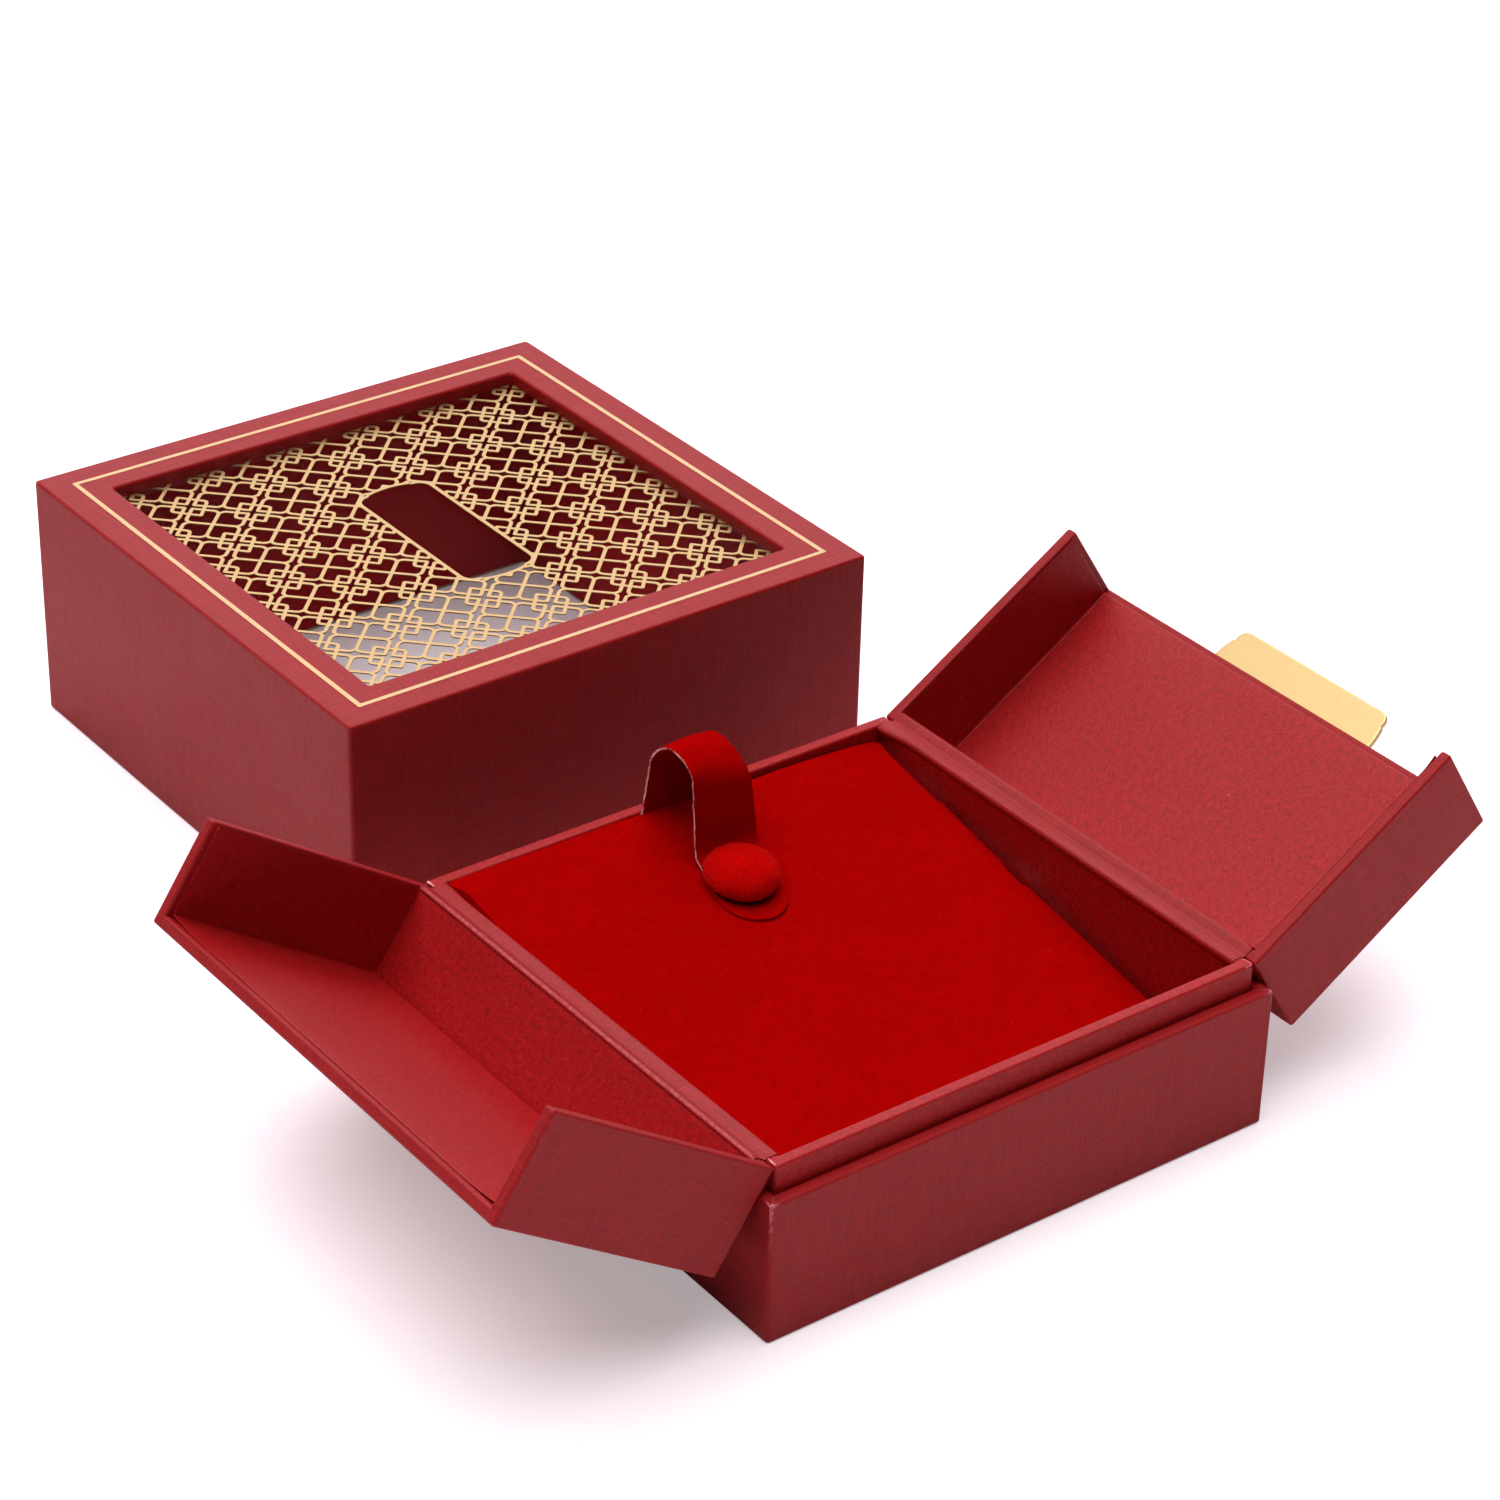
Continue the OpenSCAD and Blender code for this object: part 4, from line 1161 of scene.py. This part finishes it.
def fibres(name, mat_, points, seed, length=(0.25, 0.7), width=0.05):
    """Short loose fibres along a raw edge: thin three-sided slivers, all closed."""
    R = random.Random(seed)
    verts, faces = [], []
    for (p, out, up) in points:
        L = R.uniform(*length)
        d = (Vector(out) + Vector((R.uniform(-.6, .6), R.uniform(-.6, .6), R.uniform(-.6, .6)))).normalized()
        side = d.cross(Vector((R.uniform(-1, 1), R.uniform(-1, 1), R.uniform(-1, 1)))).normalized()
        up2 = d.cross(side)
        p = Vector(p)
        mid = p + d * L * 0.55 + side * L * R.uniform(-.2, .2)
        tip = p + d * L
        b = len(verts)
        for c, r in ((p, width), (mid, width * 0.7)):
            for k in range(3):
                a = 2 * math.pi * k / 3
                verts.append(tuple(c + side * (r * math.cos(a)) + up2 * (r * math.sin(a))))
        verts.append(tuple(tip))
        faces += [(b + 2, b + 1, b)]
        for k in range(3):
            k2 = (k + 1) % 3
            faces.append((b + k, b + k2, b + 3 + k2, b + 3 + k))
            faces.append((b + 3 + k, b + 3 + k2, b + 6))
    return finish_mesh(name, verts, faces, [mat_], tex=False, angle=None)


pts = []
R_ = random.Random(11)
for i in range(2, 66):
    for (C, O) in ((Lc, Rc), (Rc, Lc)):
        for _ in range(7 if C is Lc else 4):
            t = R_.random()
            p = C[i] * (1 - t) + C[min(i + 1, len(C) - 1)] * t
            out = C[i] - O[i]
            out = out / np.linalg.norm(out)
            pts.append((p + out * 0.02, out, (0, 0, 1)))
fuzz = fibres("strap_edge_fibres", M_RAW, pts, 3, (0.08, 0.24), 0.03)
for o in (strap, fuzz):
    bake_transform(o, "base", "strap_end", start=(0, 39.6 * K, 45 * K), end=(0, 36.4 * K, 45 * K))
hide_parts("strap_back", "strap_front")


# ------------------------------------------------------------------ button
def make_button():
    r, h, z0 = BTN_R + 0.02, 4.6, 1.80
    prof = [(0.0, z0), (r - 1.4, z0)]
    rows = []
    n = 72
    # side section from the underside's tuck, round the rim and over the dome
    sec = [(r - 2.4, z0 + 0.0), (r - 1.2, z0 - 0.02), (r - 0.45, z0 + 0.15), (r - 0.08, z0 + 0.62), (r, z0 + 1.25), (r - 0.08, z0 + 1.85),
           (r - 0.42, z0 + 2.52), (r - 1.05, z0 + 3.18), (r - 2.0, z0 + 3.75), (r - 3.2, z0 + 4.18), (r - 4.5, z0 + 4.44), (r - 5.7, z0 + 4.55)]
    verts = []
    for k, (rr, z) in enumerate(sec):
        for i in range(n):
            a = 2 * math.pi * i / n
            q = 1 + 0.006 * math.sin(3 * a + 0.6) + 0.012 * noise.noise(Vector((math.cos(a) * 1.6, math.sin(a) * 1.6, 2)))
            tuck = 1 - (0.020 * (0.5 + 0.5 * math.cos(17 * a + 0.7 * math.sin(3 * a)))) * max(0, 1 - k / 3)
            x, y = rr * q * tuck * math.cos(a), rr * q * tuck * math.sin(a)
            verts.append((x, y, z + wob(x, y, 0, 2.6, 0.10, 5.0) * (0.2 if k <= 3 else min(1.0, rr / 3.0) ** 2)))
    top = len(verts)
    verts.append((0, 0, z0 + 4.58))
    bot = len(verts)
    verts.append((0, 0, z0 + 0.1))
    faces = []
    for k in range(len(sec) - 1):
        for i in range(n):
            j = (i + 1) % n
            faces.append((k * n + i, k * n + j, (k + 1) * n + j, (k + 1) * n + i))
    last = (len(sec) - 1) * n
    for i in range(n):
        j = (i + 1) % n
        faces.append((last + i, last + j, top))
        faces.append((j, i, bot))
    M = PAD_MAT @ Matrix.Translation((BTN_X, BTN_S, 0)) @ Matrix.Rotation(math.radians(-1.5), 4, "X")
    ob = finish_mesh("velvet_button", verts, faces, [M_VELVET_B], mat=M, tex=False, angle=None)
    sb = ob.modifiers.new("s", "SUBSURF")
    sb.levels = sb.render_levels = 2
    dg = bpy.context.evaluated_depsgraph_get()
    me = bpy.data.meshes.new_from_object(ob.evaluated_get(dg))
    ob.modifiers.clear()
    # real nap: the pile stands unevenly
    pole = M @ Vector((0, 0, z0 + 4.58))
    co = np.array([vv.co for vv in me.vertices]) / K
    no = np.array([vv.normal for vv in me.vertices])
    for i in range(len(co)):
        away = min(1.0, math.hypot(co[i][0] - pole[0], co[i][1] - pole[1]) / 2.2)
        co[i] += no[i] * (0.07 * noise.noise(Vector(co[i] * 1.3)) + 0.05 * away * noise.noise(Vector(co[i] * 3.0)))
    me.vertices.foreach_set("co", (co * K).astype(np.float32).ravel())
    me.update()
    ob.data = me
    smooth(me)
    return ob


button = make_button()
keep(button, "strap_end", "velvet", "button_cap")

pts = []
R_ = random.Random(5)
me = button.data
ps = [pp for pp in me.polygons if pp.normal.z > -0.2]
acc = np.cumsum([pp.area for pp in ps])
for _ in range(3600):
    pp = ps[min(len(ps) - 1, int(np.searchsorted(acc, R_.random() * acc[-1])))]
    pts.append((np.array(pp.center) / K, tuple(pp.normal), (0, 0, 1)))
nap = fibres("button_nap", M_NAP, pts, 9, (0.14, 0.32), 0.032)
keep(nap, "strap_end", "velvet")


# ------------------------------------------------------------------ plaque
def notched_outline(l, w, r, step=2.6, R=15.0, na=6, nb=14):
    q = []
    yy = l / 2 - 1.1
    # one quarter, from the middle of the long side to the middle of the end, x = w/2 side
    q.append((w / 2, 0.0))
    q += [(w / 2, (yy - r) * k / 4) for k in (1, 2, 3)]
    q += arc2(w / 2 - r, yy - r, r, 0, 90, na)
    xs = w / 2 - step
    q.append((xs, yy))
    c = l / 2 - R
    a0 = math.degrees(math.acos(xs / R))
    q += arc2(0, c, R, a0, 90, nb)
    out = q[:]
    out += [(-x, y) for x, y in reversed(q[:-1])]
    half = out[:]
    out += [(x, -y) for x, y in reversed(half[1:-1])] if False else []
    full = q + [(-x, y) for x, y in reversed(q[:-1])] + [(-x, -y) for x, y in q[1:]] + [(x, -y) for x, y in reversed(q[1:-1])]
    res = [full[0]]
    for p in full[1:]:
        if math.hypot(p[0] - res[-1][0], p[1] - res[-1][1]) > 1e-4:
            res.append(p)
    return res


def make_plaque():
    """A thin plate with rounded shoulders and stepped ends, soft edges, and a fine pressed line inside its border on the outer face."""
    t = 1.0
    lv = [(0.42, 0.0), (0.16, 0.0), (0.05, 0.05), (0.0, 0.16), (0.0, t - 0.16), (0.05, t - 0.05), (0.16, t), (0.42, t),
          (0.95, t), (1.02, t - 0.07), (1.16, t - 0.07), (1.23, t), (1.6, t)]
    verts = []
    n = None
    for d, z in lv:
        o = notched_outline(38.5 - 2 * d, 14.8 - 2 * d, 1.8 - d, 2.6, 15.0 - d)
        n = len(o)
        verts += [(x, y, z) for x, y in o]
    faces = [tuple(range(n - 1, -1, -1))]
    for k in range(len(lv) - 1):
        for i in range(n):
            j = (i + 1) % n
            faces.append((k * n + i, k * n + j, (k + 1) * n + j, (k + 1) * n + i))
    faces.append(tuple((len(lv) - 1) * n + i for i in range(n)))
    bm = bmesh.new()
    vs = [bm.verts.new(p) for p in verts]
    for f in faces:
        bm.faces.new([vs[i] for i in f])
    bmesh.ops.recalc_face_normals(bm, faces=bm.faces)
    bmesh.ops.triangulate(bm, faces=[ff for ff in bm.faces if len(ff.verts) > 4])
    bm.verts.index_update()
    co = np.array([vv.co for vv in bm.verts])
    faces = [[vv.index for vv in ff.verts] for ff in bm.faces]
    bm.free()
    M = door_mat("right") @ Matrix.Translation((-DU, 0, DV1 + 0.3))
    return finish_mesh("gold_plaque", co, faces, [M_GOLD], mat=M, local=co, angle=35)


keep(make_plaque(), "right_door", "gold_plate", "plaque")

# ------------------------------------------------------------------ cover
prof = rprof([(2.3, 0.0), (0.0, 0.0), (0.0, CH), (HC - WW, CH), (HC - WW, FB)], [0.4, 0.6, 0.7])
prof = dense(prof, 6.0)
v, f, e = ring_sweep(HC, HC, prof, 0.8, sub=12, wave=0.05, seed=7.9, rmin=0.6, centre=(CX, CY))
ob = finish_mesh("cover_paper", v, f, [M_OUT], edge=e)
solidify(ob, 0.22)
keep(ob, "cover", "red_paper", "cover_wrap")

# lining of the walls, from inside
lo, hi = B("cover_liner")
prof = [(HC - CC, hi[2], 0.0), (HC - CC, hi[2] - 14, 0.0), (HC - CC, hi[2] - 28, 0.0), (HC - CC, 1.2, 0.0), (HC - CC - 0.02, 0.6, 0.5)]
prof = dense(prof, 7)
v, f, e = ring_sweep(HC, HC, prof, 0.5, sub=12, wave=0.05, seed=2.9, rmin=0.5, centre=(CX, CY))
ob = finish_mesh("cover_lining", v, f, [M_IN_C], edge=e)
solidify(ob, 0.22)
keep(ob, "cover", "dark_red_paper", "cover_liner")

lo, hi = B("film_frame")
w0 = WW + 1.0
prof = rprof([(HC - CI + 0.02, lo[2]), (HC - w0, lo[2]), (HC - w0, hi[2]), (HC - CI + 0.02, hi[2])], [0.15, 0.15], 2)
v, f, e = ring_sweep(HC, HC, prof, 0.5, sub=8, rmin=0.4, centre=(CX, CY))
n_ring = len(v) // len(prof)
base = (len(prof) - 1) * n_ring
f += [(base + j, base + (j + 1) % n_ring, (j + 1) % n_ring, j) for j in range(n_ring)]
f = [tuple(reversed(q)) for q in f]
ob = finish_mesh("window_card", v, f, [M_IN], edge=e)
keep(ob, "cover", "dark_red_paper", "film_frame")


# ------------------------------------------------------------------ lattice: one cut sheet, its strands joined exactly
LW = 0.69
HP = 8.35


def round_poly(pts, radii, closed=False, seg=5):
    out = []
    n = len(pts)
    for i in range(n):
        r = radii[i]
        if not closed and i in (0, n - 1) or r <= 0:
            out.append(tuple(pts[i]))
            continue
        p, a, b = Vector(pts[i]), Vector(pts[i - 1]), Vector(pts[(i + 1) % n])
        da, db = (a - p).normalized(), (b - p).normalized()
        ang = da.angle(db)
        t = min(r / math.tan(ang / 2), (a - p).length * 0.49, (b - p).length * 0.49)
        s, e = p + da * t, p + db * t
        for k in range(seg + 1):
            f = k / seg
            q = s * (1 - f) ** 2 + p * 2 * f * (1 - f) + e * f ** 2
            out.append((q.x, q.y))
    return out


def cell_strands():
    """Centre lines of the interlace around one repeat of the pattern, which is 2 HP square."""
    S = []
    for i in range(-1, 4):
        for j in range(-1, 4):
            cx, cy = i * HP, j * HP

            def add(pts, radii=None, closed=False):
                p = round_poly(pts, radii or [0] * len(pts), closed)
                p = [(cx + x, cy + y) for x, y in p]
                if closed:
                    p.append(p[0])
                S.append(p)

            if (i + j) % 2:
                # X: four arms to the junctions
                add([(-3.2, -3.2), (3.2, 3.2)])
                add([(-3.2, 3.2), (3.2, -3.2)])
            else:
                for sg in (1, -1):
                    # pointed arches above and below, left and right, and a diamond loop
                    add([(-3.1, sg * 5.35), (-3.1, sg * 4.2), (0, sg * 1.0), (3.1, sg * 4.2), (3.1, sg * 5.35)], [0, 1.15, 0.12, 1.15, 0])
                    add([(sg * 5.35, -3.1), (sg * 4.1, -3.1), (sg * 0.95, 0), (sg * 4.1, 3.1), (sg * 5.35, 3.1)], [0, 1.15, 0.12, 1.15, 0])
                add([(0, 4.2), (-3.75, 0), (0, -4.2), (3.75, 0)], [0.15, 0.9, 0.15, 0.9], True)
    return S


def seg_dist(p, a, b):
    """Least distance of points p from segments a-b."""
    best = np.full(len(p), 1e9)
    for s0, s1 in zip(a, b):
        d = s1 - s0
        t = np.clip(((p - s0) @ d) / max(float(d @ d), 1e-12), 0, 1)
        q = s0 + t[:, None] * d
        best = np.minimum(best, np.hypot(*(p - q).T))
    return best


def poly_inside(poly, p):
    c = np.zeros(len(p), bool)
    n = len(poly)
    for k in range(n):
        x1, y1 = poly[k]
        x2, y2 = poly[(k + 1) % n]
        if y1 == y2:
            continue
        m = ((y1 > p[:, 1]) != (y2 > p[:, 1])) & (p[:, 0] < (x2 - x1) * (p[:, 1] - y1) / (y2 - y1) + x1)
        c ^= m
    return c


def make_lattice():
    r = LW / 2
    S = cell_strands()
    A = np.array([p for q in S for p in q[:-1]])
    Bq = np.array([p for q in S for p in q[1:]])
    near = (np.minimum(A, Bq).max(axis=1) < 2 * HP + 1) & (np.maximum(A, Bq).min(axis=1) > -1)
    A, Bq = A[near], Bq[near]
    # one repeat: the outlines of all its strands, with round joints
    V, E = [], []

    def loop(p):
        b = len(V)
        V.extend(Vector(q) for q in p)
        E.extend((b + k, b + (k + 1) % len(p)) for k in range(len(p)))

    joints = set()
    for a, b in zip(A, Bq):
        d = b - a
        L = float(np.linalg.norm(d))
        if L < 1e-6:
            continue
        nrm = np.array((-d[1], d[0])) / L * r
        loop([tuple(a + nrm), tuple(a - nrm), tuple(b - nrm), tuple(b + nrm)])
        joints.add((round(float(a[0]), 4), round(float(a[1]), 4)))
        joints.add((round(float(b[0]), 4), round(float(b[1]), 4)))
    for c in joints:
        loop([(c[0] + r * math.cos(math.pi * (k + 0.5) / 6), c[1] + r * math.sin(math.pi * (k + 0.5) / 6)) for k in range(12)])
    loop([(0, 0), (2 * HP, 0), (2 * HP, 2 * HP), (0, 2 * HP)])
    rv, re_, rf, _, _, _ = geometry.delaunay_2d_cdt(V, E, [], 0, 1e-4, False)
    P = np.array([v[:] for v in rv])
    T = np.array([f for f in rf if len(f) == 3])
    cen = P[T].mean(axis=1)
    inc = (cen.min(axis=1) > 0) & (cen.max(axis=1) < 2 * HP)
    on = np.zeros(len(T), bool)
    on[inc] = seg_dist(cen[inc], A, Bq) < r * 0.985
    cnt = {}
    for t in T[on]:
        for k in range(3):
            e = tuple(sorted((int(t[k]), int(t[(k + 1) % 3]))))
            cnt[e] = cnt.get(e, 0) + 1
    rim = []
    for e, c in cnt.items():
        if c == 1:
            a, b = P[e[0]], P[e[1]]
            m = (a + b) / 2
            if min(m.min(), (2 * HP - m).min()) < 1e-5:
                continue
            rim.append((a, b))
    # tile the outlines over the sheet, cut the clear field and the border
    lim, m_in = WW + 2.6, WW + 1.2
    out_poly = notched_outline(40.6, 15.8, 3.05, 3.35)
    in_poly = notched_outline(39.1, 14.3, 2.3, 2.6, 14.25)
    V, E = [], []
    idx = {}

    def vid(x, y):
        k = (round(x, 3), round(y, 3))
        if k not in idx:
            idx[k] = len(V)
            V.append(Vector((x, y)))
        return idx[k]

    kk = int(lim / (2 * HP)) + 2
    for i in range(-kk, kk):
        for j in range(-kk, kk):
            ox, oy = i * 2 * HP, j * 2 * HP
            if ox > lim or oy > lim or ox + 2 * HP < -lim or oy + 2 * HP < -lim:
                continue
            for a, b in rim:
                ax, ay, bx_, by_ = a[0] + ox, a[1] + oy, b[0] + ox, b[1] + oy
                if min(abs(ax), abs(bx_)) > lim + 1 or min(abs(ay), abs(by_)) > lim + 1:
                    continue
                p, q = vid(ax, ay), vid(bx_, by_)
                if p != q:
                    E.append((p, q))
    for poly in (out_poly, in_poly, [(-lim, -lim), (lim, -lim), (lim, lim), (-lim, lim)], [(-m_in, -m_in), (m_in, -m_in), (m_in, m_in), (-m_in, m_in)]):
        b = len(V)
        V.extend(Vector(q) for q in poly)
        E.extend((b + k, b + (k + 1) % len(poly)) for k in range(len(poly)))
    rv, re_, rf, _, _, _ = geometry.delaunay_2d_cdt(V, E, [], 0, 1e-4, False)
    P = np.array([v[:] for v in rv])
    T = np.array([f for f in rf if len(f) == 3])
    cen = P[T].mean(axis=1)
    ok = (np.abs(cen).max(axis=1) < lim) & ~poly_inside(in_poly, cen)
    cm = np.mod(cen, 2 * HP)
    on = np.zeros(len(T), bool)
    on[ok] = seg_dist(cm[ok], A, Bq) < r * 0.985
    on |= ok & ((np.abs(cen).max(axis=1) > m_in) | poly_inside(out_poly, cen))
    bm = bmesh.new()
    vs = {}
    for t in T[on]:
        q = []
        for k in t:
            k = int(k)
            if k not in vs:
                vs[k] = bm.verts.new((P[k][0], P[k][1], 0))
            q.append(vs[k])
        bm.faces.new(q)
    for ff in bm.faces:
        ff.normal_update()
        if ff.normal.z < 0:
            ff.normal_flip()
    bmesh.ops.dissolve_limit(bm, angle_limit=0.005, verts=bm.verts, edges=[e for e in bm.edges if len(e.link_faces) == 2], delimit={"NORMAL"})
    r2 = bmesh.ops.extrude_face_region(bm, geom=list(bm.faces))
    for g in r2["geom"]:
        if isinstance(g, bmesh.types.BMVert):
            g.co.z = 1.0
    bmesh.ops.recalc_face_normals(bm, faces=bm.faces)
    bm.verts.index_update()
    co = np.array([vv.co for vv in bm.verts])
    co[:, 2] = np.where(co[:, 2] > 0.5, LZ1, LZ0)
    co[:, 0] += CX
    co[:, 1] += CY
    fc, mi = [], []
    for ff in bm.faces:
        ff.normal_update()
        fc.append([vv.index for vv in ff.verts])
        # top faces take the gold; sides and underside take the dark brown, painted shade
        mi.append(0 if ff.normal.z > 0.5 else 1)
    bm.free()
    return finish_mesh("gold_lattice", co, fc, [M_LAT, M_LAT_SHADE], tex=False, angle=30, face_mat=mi)


lat = make_lattice()
keep(lat, "cover", "gold_foil", "lattice_sheet")


def gold_line():
    lo, hi = B("gold_border")
    g = (hi[0] - lo[0]) / 2
    w = 0.9
    z = CH
    prof = [(0.0, z - 0.03, 0.0), (0.0, z + 0.035, 0.0), (0.05, z + 0.06, 1.0), (w - 0.05, z + 0.06, 1.0), (w, z + 0.035, 0.0), (w, z - 0.03, 0.0)]
    v, f, e = ring_sweep(g, g, prof, 0.35, nc=4, sub=60, rmin=0.12, centre=(CX, CY))
    vv = []
    n_ring = len(v) // len(prof)
    for i, p in enumerate(v):
        k = i // n_ring
        j = i % n_ring
        jit = 0.03 * noise.noise(Vector((p[0] * 0.7, p[1] * 0.7, 1.0 if k < 3 else 9.0)))
        dx, dy = p[0] - CX, p[1] - CY
        if abs(dx) > abs(dy):
            vv.append((p[0] + jit, p[1], p[2]))
        else:
            vv.append((p[0], p[1] + jit, p[2]))
    base = (len(prof) - 1) * n_ring
    f += [(base + j, base + (j + 1) % n_ring, (j + 1) % n_ring, j) for j in range(n_ring)]
    return finish_mesh("gold_line", vv, f, [M_FOIL], tex=False, angle=35)


keep(gold_line(), "cover", "gold_foil", "gold_border")

# ------------------------------------------------------------------ CAD nodes that stay
PLAIN = {
    M_GREY: ["shell_floor_board", "shell_wall_front", "shell_wall_back", "shell_wall_left", "shell_wall_right", "tray_floor_board", "tray_wall_front",
             "tray_wall_back", "tray_wall_left", "tray_wall_right", "pad_riser_back", "pad_riser_front", "pad_board",
             "left_panel_board", "left_hinge_wall", "left_end_front", "left_end_back", "right_panel_board", "right_hinge_wall", "right_end_front", "right_end_back",
             "cover_top_frame", "cover_wall_front", "cover_wall_back", "cover_wall_left", "cover_wall_right"],
    M_OUT_OBJ: ["base_bottom_sheet"],
    M_FOAM: ["pad_foam"],
    M_NICKEL: ["snap_socket", "snap_stud", "left_magnets"],
    M_GLUE: ["strap_anchor", "plaque_adhesive"],
    M_FILM: ["window_film"],
}
for mat_, names in PLAIN.items():
    for nm in names:
        o = NODE[nm]
        if not o.material_slots:
            o.data.materials.append(mat_)
        for sl in o.material_slots:
            sl.material = mat_
        if nm == "pad_foam":
            wl = o.modifiers.new("weld", "WELD")
            wl.merge_threshold = 1e-6
            bv = o.modifiers.new("soft_edge", "BEVEL")
            bv.width = 0.0016
            bv.segments = 3
            bv.limit_method = "ANGLE"
            bv.angle_limit = math.radians(60)
        if mat_ is M_GREY:
            wl = o.modifiers.new("weld", "WELD")
            wl.merge_threshold = 1e-6
            bv = o.modifiers.new("soft_edge", "BEVEL")
            bv.width = 0.0003
            bv.segments = 2
            bv.limit_method = "ANGLE"
            bv.angle_limit = math.radians(40)

# ------------------------------------------------------------------ stage, light, camera
me = bpy.data.meshes.new("floor")
bm = bmesh.new()
bmesh.ops.create_grid(bm, x_segments=4, y_segments=4, size=4.0)
bm.to_mesh(me)
bm.free()
floor = link("floor", me)
floor.location = (0, 0, -0.0001)
N = NT("floor_white_painted_glow")
fn = N.noise(N.obj(), 3.0, 2.0, 0.5)
lp = N.new("ShaderNodeLightPath")
fb = N.ramp(fn, [(0.3, (0.87, 0.795, 0.83)), (0.7, (0.89, 0.815, 0.85))])
N.set(base=fb, rough=0.75, spec=0.25)
# The floor glows a little (0.06) for every ray, and up to 0.30 more for camera rays outside the cover's footprint:
# painted light that lightens the floor's shadows.
N.bsdf.inputs["Emission Color"].default_value = (1.0, 0.97, 0.99, 1)
sp = N.new("ShaderNodeSeparateXYZ")
N.put(sp.inputs[0], N.obj())
# mask for the painted glow: none on the cover's footprint, full outside it
dx_ = N.math("ABSOLUTE", N.math("ADD", sp.outputs[0], -CX * K))
dy_ = N.math("ABSOLUTE", N.math("ADD", sp.outputs[1], -CY * K))
clear = N.maprange(N.math("MAXIMUM", dx_, dy_), (HC - 1.5) * K, HC * K, 0.0, 0.30)
N.put(N.bsdf.inputs["Emission Strength"], N.math("MULTIPLY_ADD", lp.outputs["Is Camera Ray"], clear, 0.06))
floor.data.materials.append(N.m)

world = bpy.data.worlds.new("studio")
bpy.context.scene.world = world
world.use_nodes = True
bg = next(n for n in world.node_tree.nodes if n.type == "BACKGROUND")
bg.inputs["Color"].default_value = (1.0, 0.985, 1.0, 1)
bg.inputs["Strength"].default_value = 0.02


def area(name, loc, target, size, power, col=(1, 1, 1), size_y=None):
    d = bpy.data.lights.new(name, "AREA")
    d.energy = power
    d.color = col
    d.shape = "RECTANGLE"
    d.size = size
    d.size_y = size_y or size
    o = bpy.data.objects.new(name, d)
    bpy.context.scene.collection.objects.link(o)
    o.location = loc
    o.rotation_mode = "QUATERNION"
    o.rotation_quaternion = (Vector(target) - Vector(loc)).to_track_quat("-Z", "Y")
    return o


def sun(name, direction, angle, strength, col=(1, 1, 1)):
    d = bpy.data.lights.new(name, "SUN")
    d.energy = strength
    d.color = col
    d.angle = math.radians(angle)
    o = bpy.data.objects.new(name, d)
    bpy.context.scene.collection.objects.link(o)
    o.rotation_mode = "QUATERNION"
    o.rotation_quaternion = (-Vector(direction)).to_track_quat("-Z", "Y")
    return o


sun("overhead", (-0.10, 0.10, 1.0), 70, 3.80, (1.0, 0.985, 1.0))
sun("back_soft", (0.6, 1.0, 0.55), 60, 1.45, (1.0, 0.92, 0.99))

sc = bpy.context.scene
sc.view_settings.view_transform = "Standard"
sc.view_settings.look = "None"
sc.view_settings.exposure = 0.0
sc.view_settings.gamma = 1.0

yaw, pitch, roll = -0.6536074353, -0.5354309306, 0.0278976263
fwd = Vector((math.sin(-yaw) * math.cos(pitch), math.cos(yaw) * math.cos(pitch), math.sin(pitch)))
right = fwd.cross(Vector((0, 0, 1))).normalized()
up = right.cross(fwd)
r2 = right * math.cos(roll) + up * math.sin(roll)
u2 = -right * math.sin(roll) + up * math.cos(roll)
cd = bpy.data.cameras.new("camera")
cam = bpy.data.objects.new("camera", cd)
sc.collection.objects.link(cam)
cd.sensor_width = 36.0
cd.sensor_fit = "HORIZONTAL"
cd.lens = 4207.8036 / 1500 * 36.0
cd.clip_start, cd.clip_end = 0.05, 30
rot = Matrix((r2, u2, -fwd)).transposed()
cam.matrix_world = Matrix.Translation((-0.3555312, -0.4406940, 0.3976042)) @ rot.to_4x4()
sc.camera = cam

bpy.context.view_layer.update()
